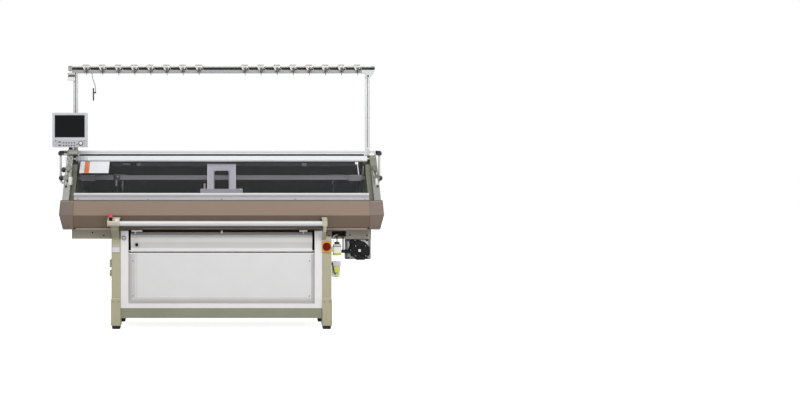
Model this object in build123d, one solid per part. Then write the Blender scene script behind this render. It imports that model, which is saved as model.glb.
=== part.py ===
from build123d import *
from math import cos, radians, sin, tan
import os

# Flat knitting machine for knitting widths of about 1.2 m.
# Millimetres. X runs along the needle beds, Y to the back, Z up from the floor.
# All sizes below are from the machine's own centre line; CENTRE_X moves it so that
# the middle of the whole outline comes to the origin.

# Whole machine
CENTRE_X = 32.0
BED_Y = 45.0
CLEAR = 0.3
RUNNING = 0.3

# Side legs, feet and cross beams
LEG_OVERHANG = 374.0
LEG_WIDTH = 76.0
LEG_FRONT = -300.0
LEG_BACK = 330.0
LEG_TOP = 737.0
LEG_COLUMN = 100.0
LEG_WEB = 16.0
LEG_HEAD = 90.0
LEG_TIE = 120.0
LEG_RADIUS = 36.0
LEG_EDGE = 6.0
LEG_SEAM_Z = 626.0
LEG_SEAM = 3.0
PLINTH_TOP = 249.0
PLINTH_OUT = 4.0
FOOT_HEIGHT = 29.0
FOOT_WIDTH = 70.0
FOOT_DEPTH = 92.0
FOOT_TAPER = 10.0
SOCKET_HEIGHT = 65.0
SOCKET_OUT = 18.0
SOCKET_Z = 538.0
COVER_RADIUS = 28.0
COVER_Z = 458.0
SOCKET_Y = -250.0
BEAM_Z = 90.0
BEAM_HEIGHT = 82.0
BEAM_DEPTH = 50.0
BEAM_WALL = 4.0
BEAM_INSET = 15.0

# Base frame
BASE_HALF = 1240.0
BASE_FRONT = -205.0
BASE_BACK = 235.0
BASE_HEIGHT = 88.0
BASE_WALL = 6.0
BASE_FLANGE = 40.0
BASE_HOLE = 6.0
RECESS_WIDTH = 119.0
RECESS_HEIGHT = 46.0
RECESS_UP = 19.0
RECESS_MARGIN = 268.0

# Front trim, lower panel and chute panel
TRIM_WIDTH = 62.0
TRIM_TOP = 808.0
TRIM_STRIP = 38.0
TRIM_FRONT = -290.0
TRIM_DEPTH = 34.0
TRIM_WALL = 2.5
PANEL_TOP = 625.0
PANEL_WALL = 2.0
PANEL_LAP = 12.0
CHUTE_BOTTOM = 633.0
CHUTE_HEIGHT = 160.0
CHUTE_WALL = 2.5
CHUTE_Y = -268.0
CHUTE_LEAN = 30.0
CHUTE_CURL = 46.0
CHUTE_BELLY = 12.0
CHUTE_KNOB_IN = 45.0
CHUTE_PIN = 4.0
CHUTE_LUG = 8.0
LATCH_Z = 748.0
LATCH_RADIUS = 15.0
LATCH_OUT = 5.0
LATCH_STEM = 6.0

# Aprons and end covers
APRON_WALL = 2.0
APRON_TOP = 1058.0
FOLD_Z = 939.0
APRON_BOTTOM = 834.0
FRONT_LIP = -338.0
FRONT_FOLD = -368.0
FRONT_FOOT = -335.0
REAR_LIP = 410.0
REAR_FOLD = 440.0
REAR_FOOT = 407.0
LEDGE = 76.0
END_FOOT_Z = 820.0
END_WALL = 4.0
END_ROUND = 14.0

# Side plates
PLATE_TOP = 1432.0
PLATE_FRONT_TOP = -12.0
PLATE_BACK_TOP = 102.0
PLATE_FRONT_LOW = -330.0
PLATE_BACK_LOW = 402.0
PLATE_SHOULDER = 26.0
PLATE_STEP = 60.0
PLATE_CURVE = 132.0

# Hood: fixed top rail, rear hood and the hinged clear cover
TOP_RAIL_Z = 1443.0
TOP_RAIL_HEIGHT = 30.0
TOP_RAIL_DEPTH = 45.0
HOOD_WALL = 2.0
HOOD_CHEEK_TOP = 67.0
HOOD_CHEEK_FOOT = 112.0
DUCT_Z = 1343.0
DUCT_HEIGHT = 27.0
DUCT_DEPTH = 16.0
HINGE_Y = 8.0
HINGE_Z = 1403.0
HINGE_BAR_DEPTH = 34.0
HINGE_BAR_HEIGHT = 50.0
HINGE_BAR_CHAMFER = 9.0
HINGE_PIN = 8.0
HINGE_PIN_LENGTH = 30.0
HANDLE_FRONT = -345.0
HANDLE_DEPTH = 44.0
HANDLE_HEIGHT = 60.0
CLEAR_WALL = 4.0
CLIP_WIDTH = 26.0
CLIP_LENGTH = 22.0

# Needle beds, bearers and guide rails
VERGE_Z = 1105.0
VERGE_GAP = 4.0
BED_LENGTH = 160.0
BED_THICK = 28.0
NEEDLE_HALF = 612.0
NEEDLE_PITCH = 24.0
NEEDLE_WIDTH = 9.0
NEEDLE_RISE = 3.0
BEARER_THICK = 24.0
BEARER_FOOT = 185.0
GUIDE_RADIUS = 11.0
GUIDE_DROP = 18.0
SHOE_START = 14.0
SHOE_WIDTH = 20.0
SHOE_CLEAR = 5.0

# Carriage
CARRIAGE_HALF = 177.0
CARRIAGE_GAP = 5.0
CARRIAGE_THICK = 44.0
CARRIAGE_START = 24.0
ARCH_HALF = 119.5
ARCH_OPENING = 60.0
ARCH_TOP = 1360.0
ARCH_BEAM = 57.0
ARCH_WALL = 25.0
ARCH_RADIUS = 15.0
ARCH_REACH_TOP = 37.0
ARCH_REACH_LOW = 167.0
ARCH_BEVEL = 14.0
ARCH_FOOT_Z = 1149.0
ARCH_FOOT = 12.0

# Yarn carrier rails and carriers
RAIL_Z = 1226.0
RAIL_HEIGHT = 38.0
RAIL_THICK = 8.0
RAIL_NECK = 4.0
RAIL_HEAD = 9.0
RAIL_PITCH = 30.0
BLOCK_LENGTH = 106.0
BLOCK_Z = 1217.0
BLOCK_TOP = 1268.0
BLOCK_DEPTH = 118.0
CARRIER_LENGTH = 56.0
CARRIER_HEIGHT = 52.0
CARRIER_DEPTH = 18.0
CARRIER_PLATE = 3.0
CARRIER_TIP_Z = 1116.0
CARRIER_TIP = 2.0
CARRIER_TIP_PITCH = 6.0
CARRIER_PARKS = (190.0, 237.0, 125.0)

# Take-down rollers
ROLLER_RADIUS = 22.0
ROLLER_HALF = 640.0
ROLLER_Z = 930.0
ROLLER_NIP = 1.0
ROLLER_SHAFT = 9.0
ROLLER_SHAFT_HALF = 735.0
GEAR_TEETH = 16
GEAR_WIDTH = 10.0
TOOTH_HEIGHT = 3.6
TOOTH_SHARE = 0.42

# Racking screw
SCREW_Y = 178.0
SCREW_Z = 905.0
SCREW_RADIUS = 9.0
SCREW_LENGTH = 190.0
SCREW_KNOB = 24.0
NUT_SIZE = 44.0
NUT_LENGTH = 40.0

# Carriage drive
PULLEY_Y = -160.0
PULLEY_Z = 900.0
PULLEY_RADIUS = 40.0
PULLEY_WIDTH = 20.0
PULLEY_FLANGE = 5.0
BELT_THICK = 4.0
BELT_WIDTH = 16.0
MOTOR_BELT_Y = -120.0
MOTOR_Z = 640.0
MOTOR_PULLEY_RADIUS = 24.0
REDUCER_RADIUS = 32.0
AXLE_RADIUS = 8.0
AXLE_PLATE = 10.0
MOTOR_PLATE_WIDTH = 218.0
MOTOR_PLATE_HEIGHT = 173.0
MOTOR_PLATE_FRONT = -150.0
MOTOR_PLATE_THICK = 12.0
MOTOR_RADIUS = 76.0
MOTOR_LENGTH = 84.0
MOTOR_BOSS = 30.0
PLUG_LENGTH = 118.0

# Operating bar, its boxes, main switch
BAR_Y = -430.0
BAR_Z = 873.0
BAR_RADIUS = 19.5
BAR_JOURNAL = 12.0
BAR_JOURNAL_LENGTH = 16.0
STOP_WIDTH = 101.0
STOP_BOTTOM = 850.0
STOP_FRONT_TOP = 893.0
STOP_BACK_TOP = 925.0
STOP_FRONT = -449.0
STOP_BACK = -385.0
STOP_EDGE = 5.0
COLUMN_WIDTH = 60.0
STOP_BUTTON_RADIUS = 20.0
STOP_BUTTON_HEIGHT = 26.0
STOP_BUTTON_EDGE = 6.0
STOP_TRAVEL = 5.0
STOP_STEM = 13.0
STOP_COLLAR = 17.0
STOP_COLLAR_HEIGHT = 14.0
BRACKET_WIDTH = 41.0
BRACKET_STEM = 24.0
SWITCH_Z = 678.0
SWITCH_WIDTH = 74.0
SWITCH_HEIGHT = 92.0
SWITCH_PLATE = 6.0
SWITCH_RADIUS = 33.0
SWITCH_DISC = 14.0
SWITCH_GRIP = 20.0
SWITCH_GRIP_WIDTH = 15.0

# Yarn stand
POST_SIZE = 36.0
POST_SLOT = 9.0
POST_SLOT_DEPTH = 6.0
STAND_Z = 2130.0
STAND_HEIGHT = 58.0
STAND_DEPTH = 40.0
STAND_SLOT_UP = 26.0
STAND_SLOT = 22.0
STAND_SLOT_DEPTH = 9.0
CAP_LENGTH = 32.0
CAP_OUT = 3.0
TENSION_FIRST = 194.0
TENSION_PITCH = 136.0
TENSION_LAST = 80.0
TENSION_HEIGHT = 44.0
TENSION_CREST = 8.0
TENSION_WIDTH = 60.0
TENSION_FOOT = 26.0
TENSION_DEPTH = 26.0
TENSION_HOOK = 34.0
LEVER_LENGTH = 42.0
LEVER_WIDTH = 9.0
LEVER_THICK = 5.0
LAMP_WIDTH = 60.0
LAMP_HEIGHT = 65.0
LAMP_DEPTH = 34.0
LAMP_GROOVE = 3.0
GUSSET_REACH = 42.0
GUSSET_THICK = 5.0

# Hand tool on its cord
CORD_RADIUS = 3.2
CORD_POINTS = [
    (-1096.0, 32.0, 2126.0), (-1096.0, 32.0, 2100.0), (-1086.0, 30.0, 2066.0),
    (-1072.0, 29.0, 2032.0), (-1067.0, 30.0, 1998.0), (-1067.0, 30.0, 1970.0),
]
CORD_TURN_SHARE = 0.45
GLAND_RADIUS = 6.0
GLAND_HEIGHT = 4.0
TOOL_X = -1085.0
TOOL_TOP = 2003.0
TOOL_LENGTH = 107.0
TOOL_RADIUS = 6.0
TOOL_CLIP = 12.0

# Monitor and its arm
BLOCK_TOP_Z = 1480.0
BLOCK_FRONT = -60.0
BLOCK_BACK = 22.0
SWIVEL_Y = -26.0
NECK_RADIUS = 18.0
NECK_KNOB = 18.0
NECK_WIDTH = 30.0
NECK_THICK = 16.0
TILT_Y = -48.0
TILT_Z = 1642.0
TILT_PIN = 5.0
TILT_EAR = 6.0
TILT_ROUND = 12.0
MONITOR_WIDTH = 291.0
MONITOR_Z = 1498.5
MONITOR_HEIGHT = 288.0
MONITOR_FRONT = -115.0
MONITOR_DEPTH = 52.0
MONITOR_EDGE = 8.0
SCREEN_WIDTH = 245.0
SCREEN_HEIGHT = 181.0
SCREEN_Z = 1583.0
SCREEN_DEPTH = 4.0
KEY_SIZE = 14.0
KEY_RISE = 1.5
KEY_START = 51.0
KEY_PITCH = 22.3
KEY_ROWS = (15.0, 36.0)
PAD_Z = 32.0
PAD_X = 92.0
PAD_RADIUS = 19.0

# Side yarn gear
SIDE_TUBE = 9.0
SIDE_TUBE_Y = 0.0
SIDE_TUBE_LOW = 1200.0
SIDE_TUBE_TOP = 1462.0
SIDE_TUBE_BEND = 26.0
SIDE_KNOB = 36.0
SIDE_KNOB_DEPTH = 14.0
SIDE_OUT_LEFT = 53.0
SIDE_OUT_RIGHT = 27.0
SIDE_DROPS = (110.0, 190.0)
SIDE_ELBOW = 30.0
SIDE_STEM = 6.0
DEVICE_RADIUS = 21.0
DEVICE_STEM = 7.0
DEVICE_OUT = 46.0
DEVICE_KNOB = 20.0
DEVICE_DISC = 26.0

# Oil reservoir, lubricator and cables
OIL_Z = 602.0
OIL_WIDTH = 69.0
OIL_HEIGHT = 92.0
OIL_DEPTH = 60.0
OIL_FRONT = -250.0
OIL_CAP = 20.0
LUBE_Z = 422.0
LUBE_HEAD = 36.0
LUBE_BODY = 44.0
LUBE_BOWL = 51.0
LUBE_RADIUS = 23.0
CABLE_RADIUS = 5.0
CABLE_SIDES = 10
CABLE_BEND = 20.0

# Control cabinet
CABINET_FRONT = 70.0
CABINET_BACK = 312.0
CABINET_TOP = 690.0
CABINET_WALL = 3.0
LOUVRES = 6
LOUVRE_PITCH = 26.0
LOUVRE_LENGTH = 180.0
LOUVRE_DEPTH = 6.0

# Places that follow from the sizes
SLOPE = sin(radians(45))
LEG_X = BASE_HALF - LEG_OVERHANG
FRONT_HOLES = [(-BASE_HALF + 172, 52.0), (-BASE_HALF + 265, 28.0), (-BASE_HALF + 334, 40.0),
               (BASE_HALF - 177, 32.0), (BASE_HALF - 37, 29.0)]
RECESS_X = BASE_HALF - RECESS_MARGIN
CHUTE_HALF = LEG_X - 119
LATCH_X = LEG_X - 65
PLATE_IN = BASE_HALF - 30
APRON_HALF = PLATE_IN - 1
PLATE_MID = PLATE_IN + 40
PLATE_OUT = PLATE_IN + 95
END_TOP_X = PLATE_OUT + 14
END_FOLD_X = PLATE_OUT + 22
END_FOOT_X = PLATE_OUT - 5
TOP_RAIL_HALF = PLATE_IN + 6
HOOD_HALF = APRON_HALF
HINGE_BAR_HALF = PLATE_IN + 20
HANDLE_HALF = PLATE_IN - 4
CLEAR_HALF = PLATE_IN - 22
CLIP_X = CLEAR_HALF - 70
DUCT_HALF = PLATE_IN - 60
BED_HALF = PLATE_IN - 60
GEAR_X = ROLLER_SHAFT_HALF - 15
BEARER_X = [-BED_HALF + 100, -ROLLER_SHAFT_HALF + 35, ROLLER_SHAFT_HALF - 35, BED_HALF - 100]
RAIL_HALF = PLATE_IN - 135
CARRIERS = {
    "yarn_carrier_1": (CARRIER_PARKS[0] - RAIL_HALF, 0), "yarn_carrier_2": (CARRIER_PARKS[1] - RAIL_HALF, 2),
    "yarn_carrier_3": (RAIL_HALF - CARRIER_PARKS[2], 3),
}
NUT_X = 90 - RAIL_HALF + 25
PULLEY_X = BASE_HALF - 92
MOTOR_PLATE_X = PULLEY_X - 14
STOP_X = -LEG_X - 8
STOP_BUTTON_X = STOP_X - 26
BRACKET_X = LEG_X - 30
BRACKET_STEM_X = BRACKET_X + 2
SWITCH_X = LEG_X - 4
POST_X = PLATE_IN + 26
STAND_HALF = POST_X + 62
STAND_SLOT_Z = STAND_Z + STAND_SLOT_UP
LAMP_Z = STAND_Z - LAMP_HEIGHT
TENSION_COUNT = int((STAND_HALF - TENSION_LAST - TENSION_FIRST) / TENSION_PITCH) + 1
TENSION_TOP = STAND_Z + STAND_HEIGHT + TENSION_CREST
TENSION_BOTTOM = TENSION_TOP - TENSION_HEIGHT
LAMP_X = -POST_X - 32
BLOCK_X0 = -PLATE_OUT + 14
BLOCK_X1 = -PLATE_IN - 0.5
SWIVEL_X = -PLATE_OUT + 35
MONITOR_X = SWIVEL_X + 2
SIDE_TUBE_LEFT = PLATE_OUT + SIDE_OUT_LEFT
SIDE_TUBE_RIGHT = PLATE_OUT + SIDE_OUT_RIGHT
TENSION_KNOBS = [(PLATE_OUT - 28, PLATE_TOP - SIDE_DROPS[0]), (PLATE_OUT - 15, PLATE_TOP - SIDE_DROPS[1])]
OIL_X = LEG_X + 89
LUBE_X = OIL_X - 5
CABINET_HALF = LEG_X - 146
LEG_IN = LEG_X - LEG_WIDTH / 2
LEG_OUT = LEG_X + LEG_WIDTH / 2
BASE_TOP = LEG_TOP + BASE_HEIGHT
BEAM_TOP = BEAM_Z + BEAM_HEIGHT
TRIM_OUT = LEG_IN - CLEAR
TRIM_IN = TRIM_OUT - TRIM_WIDTH
TRIM_BACK = TRIM_FRONT + TRIM_DEPTH
HANDLE_Z = APRON_TOP + CLEAR


def face(points):
    """A flat face bounded by straight lines through the points."""
    return make_face(Polyline(*points, close=True))


def folded(points, wall):
    """The section of a folded sheet that follows the points, its wall to their left."""
    route = [Vector(*point) for point in points]
    ways = [(after - here).normalized() for here, after in zip(route, route[1:])]
    sides = [Vector(-way.Y, way.X) for way in ways]
    back = [route[0] + sides[0] * wall]
    for here, one, two in zip(route[1:], sides, sides[1:]):
        middle = (one + two).normalized()
        back.append(here + middle * (wall / middle.dot(one)))
    back.append(route[-1] + sides[-1] * wall)
    return face([*route, *reversed(back)])


def along_x(section, x0, x1):
    """A section drawn in (Y, Z), drawn out from x0 to x1."""
    return extrude(Plane.YZ.offset(x0) * section, x1 - x0)


def along_y(section, y0, y1):
    """A section drawn in (X, Z), drawn out from y0 to y1."""
    return extrude(Plane.XZ.offset(-y0) * section, -(y1 - y0))


def along_z(section, z0, z1):
    """A section drawn in (X, Y), drawn out from z0 to z1."""
    return extrude(Plane.XY.offset(z0) * section, z1 - z0)


def block(x0, x1, y0, y1, z0, z1):
    """A plain block between two corners."""
    return Pos((x0 + x1) / 2, (y0 + y1) / 2, (z0 + z1) / 2) * Box(x1 - x0, y1 - y0, z1 - z0)


def rod_x(x0, x1, y, z, radius):
    """A round bar along X."""
    return along_x(Pos(y, z) * Circle(radius), x0, x1)


def rod_y(x, y0, y1, z, radius):
    """A round bar along Y."""
    return along_y(Pos(x, z) * Circle(radius), y0, y1)


def rod_z(x, y, z0, z1, radius):
    """A round bar along Z."""
    return along_z(Pos(x, y) * Circle(radius), z0, z1)


def other_side(shape):
    """The same shape at the other end of the machine."""
    return mirror(shape, Plane.YZ)


def behind(shape):
    """The same shape on the other side of the needle gap."""
    return mirror(shape, Plane.XZ.offset(-BED_Y))


def group(*shapes):
    """Separate solids that share one node."""
    return Compound([solid for shape in shapes for solid in shape.solids()])


def bed_point(along, up):
    """(Y, Z) on the front bed: along is down the slope from the verge, up is off its face."""
    return (
        BED_Y - VERGE_GAP - (along + up) * SLOPE,
        VERGE_Z + (up - along) * SLOPE,
    )


def leg_right():
    """Cast side leg: columns, head, tie and a recessed web, with a wider plinth."""
    outline = Rectangle(LEG_BACK - LEG_FRONT, LEG_TOP - FOOT_HEIGHT)
    outline = Pos((LEG_FRONT + LEG_BACK) / 2, (LEG_TOP + FOOT_HEIGHT) / 2) * outline
    body = along_x(outline, LEG_IN, LEG_OUT)
    body = chamfer(body.edges().filter_by(Axis.Z).group_by(Axis.Y)[0], LEG_EDGE)
    low = face([
        (LEG_FRONT + LEG_COLUMN, FOOT_HEIGHT - 1), (LEG_BACK - LEG_COLUMN, FOOT_HEIGHT - 1),
        (LEG_BACK - LEG_COLUMN - LEG_RADIUS, BEAM_Z), (LEG_FRONT + LEG_COLUMN + LEG_RADIUS, BEAM_Z),
    ])
    body -= along_x(low, LEG_IN - 1, LEG_OUT + 1)
    pocket_z0 = BEAM_Z + LEG_TIE
    pocket_z1 = LEG_TOP - LEG_HEAD
    pocket = RectangleRounded(LEG_BACK - LEG_FRONT - 2 * LEG_COLUMN, pocket_z1 - pocket_z0, LEG_RADIUS)
    pocket = Pos((LEG_FRONT + LEG_BACK) / 2, (pocket_z0 + pocket_z1) / 2) * pocket
    body -= along_x(pocket, LEG_IN - 1, LEG_X - LEG_WEB / 2)
    body -= along_x(pocket, LEG_X + LEG_WEB / 2, LEG_OUT + 1)
    body -= block(LEG_IN - 1, LEG_OUT + 1, LEG_FRONT - 1, LEG_FRONT + LEG_SEAM / 2,
                  LEG_SEAM_Z - LEG_SEAM / 2, LEG_SEAM_Z + LEG_SEAM / 2)
    for y0 in (LEG_FRONT - PLINTH_OUT, LEG_BACK - LEG_COLUMN):
        plinth = face([
            (LEG_IN, FOOT_HEIGHT), (LEG_OUT + PLINTH_OUT, FOOT_HEIGHT),
            (LEG_OUT + PLINTH_OUT, PLINTH_TOP - PLINTH_OUT), (LEG_OUT, PLINTH_TOP), (LEG_IN, PLINTH_TOP),
        ])
        body += along_y(plinth, y0, y0 + LEG_COLUMN + PLINTH_OUT)
    return body


def leg_left():
    """The other leg, with its socket block and round cover on the outside."""
    body = other_side(leg_right())
    socket = RectangleRounded(FOOT_WIDTH / 2, SOCKET_HEIGHT, LEG_EDGE)
    body += along_x(Pos(SOCKET_Y, SOCKET_Z) * socket, -LEG_OUT - SOCKET_OUT, -LEG_OUT)
    cover = rod_x(-LEG_OUT - SOCKET_OUT, -LEG_OUT, SOCKET_Y, COVER_Z, COVER_RADIUS)
    return body + chamfer(cover.edges().group_by(Axis.X)[0], LEG_EDGE)


def feet():
    """Four rubber feet, each narrower at the floor."""
    feet = []
    for x in (-LEG_X, LEG_X):
        for y in (LEG_FRONT + LEG_COLUMN / 2, LEG_BACK - LEG_COLUMN / 2):
            pad = Pos(x, y, FOOT_HEIGHT) * Rectangle(FOOT_WIDTH, FOOT_DEPTH)
            feet.append(extrude(pad, -FOOT_HEIGHT, taper=FOOT_TAPER))
    return group(*feet)


def beam(y0):
    """A box-section cross beam between the legs."""
    section = Rectangle(BEAM_DEPTH, BEAM_HEIGHT)
    section -= Rectangle(BEAM_DEPTH - 2 * BEAM_WALL, BEAM_HEIGHT - 2 * BEAM_WALL)
    return along_x(Pos(y0 + BEAM_DEPTH / 2, BEAM_Z + BEAM_HEIGHT / 2) * section, -LEG_IN, LEG_IN)


def cross_beams():
    """Front and rear beam."""
    return group(beam(LEG_FRONT + BEAM_INSET), beam(LEG_BACK - BEAM_INSET - BEAM_DEPTH))


def base_frame():
    """Welded frame: two channels, end plates, floor plates and cross members over the legs."""
    channel = face([
        (BASE_FRONT, LEG_TOP), (BASE_FRONT + BASE_FLANGE, LEG_TOP),
        (BASE_FRONT + BASE_FLANGE, LEG_TOP + BASE_WALL), (BASE_FRONT + BASE_WALL, LEG_TOP + BASE_WALL),
        (BASE_FRONT + BASE_WALL, BASE_TOP - BASE_WALL), (BASE_FRONT + BASE_FLANGE, BASE_TOP - BASE_WALL),
        (BASE_FRONT + BASE_FLANGE, BASE_TOP), (BASE_FRONT, BASE_TOP),
    ])
    front = along_x(channel, -BASE_HALF, BASE_HALF)
    holes = [(x, LEG_TOP + up) for x, up in FRONT_HOLES]
    for x, z in holes:
        front -= rod_y(x, BASE_FRONT - 1, BASE_FRONT + BASE_WALL + 1, z, BASE_HOLE)
    front -= block(RECESS_X - RECESS_WIDTH / 2, RECESS_X + RECESS_WIDTH / 2, BASE_FRONT - 1,
                   BASE_FRONT + BASE_WALL + 1, LEG_TOP + RECESS_UP, LEG_TOP + RECESS_UP + RECESS_HEIGHT)
    back = mirror(along_x(channel, -BASE_HALF, BASE_HALF), Plane.XZ.offset(-(BASE_FRONT + BASE_BACK) / 2))
    frame = front + back
    for x in (-BASE_HALF, BASE_HALF - BASE_WALL):
        frame += block(x, x + BASE_WALL, BASE_FRONT, BASE_BACK, LEG_TOP, BASE_TOP)
    for x in (-LEG_OUT, LEG_IN):
        frame += block(x, x + LEG_WIDTH, BASE_FRONT, BASE_BACK, LEG_TOP, BASE_TOP)
    for x0, x1 in ((-BASE_HALF, -LEG_OUT), (LEG_OUT, BASE_HALF)):
        floor = block(x0, x1, BASE_FRONT, BASE_BACK, LEG_TOP, LEG_TOP + BASE_WALL)
        frame += floor
    reach = REDUCER_RADIUS + 4 * BELT_THICK
    slot = block(PULLEY_X - reach, PULLEY_X + reach, MOTOR_BELT_Y - PULLEY_WIDTH, MOTOR_BELT_Y + PULLEY_WIDTH,
                 LEG_TOP - 1, LEG_TOP + BASE_WALL + 1)
    return frame - slot


def front_trim():
    """White U of folded sheet between the legs, open at the top."""
    inside = TRIM_OUT - TRIM_WALL
    outer = face([(-TRIM_OUT, BEAM_TOP), (TRIM_OUT, BEAM_TOP), (TRIM_OUT, TRIM_TOP), (TRIM_IN, TRIM_TOP),
                  (TRIM_IN, BEAM_TOP + TRIM_STRIP), (-TRIM_IN, BEAM_TOP + TRIM_STRIP),
                  (-TRIM_IN, TRIM_TOP), (-TRIM_OUT, TRIM_TOP)])
    w = TRIM_WALL
    inner = face([(-inside, BEAM_TOP + w), (inside, BEAM_TOP + w), (inside, TRIM_TOP - w),
                  (TRIM_IN + w, TRIM_TOP - w), (TRIM_IN + w, BEAM_TOP + TRIM_STRIP - w),
                  (-TRIM_IN - w, BEAM_TOP + TRIM_STRIP - w), (-TRIM_IN - w, TRIM_TOP - w),
                  (-inside, TRIM_TOP - w)])
    trim = along_y(outer, TRIM_FRONT, TRIM_BACK) - along_y(inner, TRIM_FRONT + w, TRIM_BACK + 1)
    trim -= rod_x(-TRIM_IN - w - 1, TRIM_IN + w + 1, *chute_axis(), CHUTE_PIN + RUNNING)
    return trim - rod_y(-LATCH_X, TRIM_FRONT - 1, TRIM_FRONT + w + 1, LATCH_Z, LATCH_STEM + RUNNING)


def trim_latch():
    """Quarter-turn latch: a disc with a slot, and its stem behind the trim."""
    disc = rod_y(-LATCH_X, TRIM_FRONT - LATCH_OUT, TRIM_FRONT - CLEAR, LATCH_Z, LATCH_RADIUS)
    disc = chamfer(disc.edges().group_by(Axis.Y)[0], 1.5)
    disc -= block(-LATCH_X - LATCH_RADIUS * 0.6, -LATCH_X + LATCH_RADIUS * 0.6, TRIM_FRONT - LATCH_OUT - 1,
                  TRIM_FRONT - LATCH_OUT + 2, LATCH_Z - 1.5, LATCH_Z + 1.5)
    stem = rod_y(-LATCH_X, TRIM_FRONT - CLEAR - 0.2, TRIM_FRONT + TRIM_DEPTH * 0.6, LATCH_Z, LATCH_STEM)
    tongue = block(-LATCH_X - LATCH_STEM, -LATCH_X + LATCH_RADIUS + LATCH_STEM,
                   TRIM_FRONT + TRIM_DEPTH * 0.45, TRIM_FRONT + TRIM_DEPTH * 0.6,
                   LATCH_Z - LATCH_STEM, LATCH_Z + LATCH_STEM)
    return disc + stem + tongue


def lower_panel():
    """Recessed panel behind the trim, with folded edges."""
    half = TRIM_IN + PANEL_LAP
    bottom = BEAM_TOP + TRIM_STRIP - PANEL_LAP
    sheet = block(-half, half, TRIM_BACK, TRIM_BACK + PANEL_WALL, bottom, PANEL_TOP)
    sheet += block(-half, half, TRIM_BACK, TRIM_BACK + PANEL_LAP, PANEL_TOP - PANEL_WALL, PANEL_TOP)
    sheet += block(-half, half, TRIM_BACK, TRIM_BACK + PANEL_LAP, bottom, bottom + PANEL_WALL)
    return sheet


def chute_axis():
    """(Y, Z) of the chute panel's hinge pins."""
    return CHUTE_Y + 6, CHUTE_BOTTOM + 8


def chute_panel():
    """Hinged chute panel: a bellied sheet with a curled foot and a knob at the left."""
    z = CHUTE_BOTTOM
    h = CHUTE_HEIGHT
    belly = [(CHUTE_Y + CHUTE_LEAN, z + h), (CHUTE_Y + CHUTE_LEAN * 0.27, z + h - 22),
             (CHUTE_Y, z + h - CHUTE_CURL), (CHUTE_Y, z + 0.48 * h), (CHUTE_Y + CHUTE_BELLY, z + 0.22 * h),
             (CHUTE_Y + CHUTE_BELLY, z + 0.12 * h), (CHUTE_Y, z + 5), (CHUTE_Y + 10, z)]
    sheet = along_x(folded(belly, CHUTE_WALL), -CHUTE_HALF, CHUTE_HALF)
    knob = rod_y(CHUTE_KNOB_IN - CHUTE_HALF, CHUTE_Y - 14, CHUTE_Y + CHUTE_WALL / 2, z + 0.62 * h, 10)
    panel = sheet + knob
    axis_y, axis_z = chute_axis()
    for side in (-1, 1):
        edge = side * (CHUTE_HALF - CHUTE_LUG)
        lug = block(min(edge, side * CHUTE_HALF), max(edge, side * CHUTE_HALF),
                    CHUTE_Y + 1, axis_y + CHUTE_PIN + 2, z + 2, axis_z + CHUTE_PIN + 2)
        tip = side * (TRIM_IN + TRIM_WALL)
        panel += lug + rod_x(min(edge, tip), max(edge, tip), axis_y, axis_z, CHUTE_PIN)
    return panel


def fold_section(lip, fold, foot, back, ledge):
    """Section of an apron: ledge, upper face, lower face and the return to the frame."""
    inward = 1 if back > foot else -1
    return [
        (lip + inward * ledge, APRON_TOP - 18), (lip + inward * ledge, APRON_TOP), (lip, APRON_TOP),
        (fold, FOLD_Z), (foot, APRON_BOTTOM), (back - inward * CLEAR, APRON_BOTTOM - 9),
    ]


def front_apron():
    """Folded front cover below the handle."""
    points = fold_section(FRONT_LIP, FRONT_FOLD, FRONT_FOOT, BASE_FRONT, LEDGE)
    return along_x(folded(points, APRON_WALL), -APRON_HALF, APRON_HALF)


def rear_apron():
    """The like cover at the back."""
    points = fold_section(REAR_LIP, REAR_FOLD, REAR_FOOT, BASE_BACK, LEDGE)
    return along_x(folded(list(reversed(points)), APRON_WALL), -APRON_HALF, APRON_HALF)


def end_hull(inset):
    """The faceted form of an end cover, set in by a wall."""
    plan = face([
        (PLATE_IN - 1 + min(inset, 0.5), END_FOOT_Z + inset), (END_FOOT_X - inset, END_FOOT_Z + inset),
        (END_FOLD_X - inset, FOLD_Z), (END_TOP_X - inset, APRON_TOP - inset),
        (PLATE_IN - 1 + min(inset, 0.5), APRON_TOP - inset),
    ])
    side = face([
        (FRONT_LIP + inset, APRON_TOP), (FRONT_FOLD + inset, FOLD_Z), (FRONT_FOOT + inset, END_FOOT_Z),
        (REAR_FOOT - inset, END_FOOT_Z), (REAR_FOLD - inset, FOLD_Z), (REAR_LIP - inset, APRON_TOP),
    ])
    hull = along_y(plan, FRONT_FOLD + inset, REAR_FOLD - inset)
    return hull & along_x(side, PLATE_IN - 2, END_FOLD_X + 1)


def end_cover_right():
    """Moulded end cover: a shell open towards the machine."""
    hull = end_hull(0)
    outer = hull.edges().filter_by(lambda e: abs((e @ 0.5).X - END_FOLD_X) < 20 and abs((e % 0.5).Z) > 0.8)
    hull = fillet(outer, END_ROUND)
    cavity = Pos(-END_WALL, 0, 0) * end_hull(END_WALL)
    frame = block(PLATE_IN - END_WALL, BASE_HALF + CLEAR, BASE_FRONT - CLEAR, BASE_BACK + CLEAR,
                  END_FOOT_Z - 1, BASE_TOP + CLEAR)
    return hull - cavity - frame


def end_cover_left():
    """The other end cover."""
    return other_side(end_cover_right())


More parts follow.
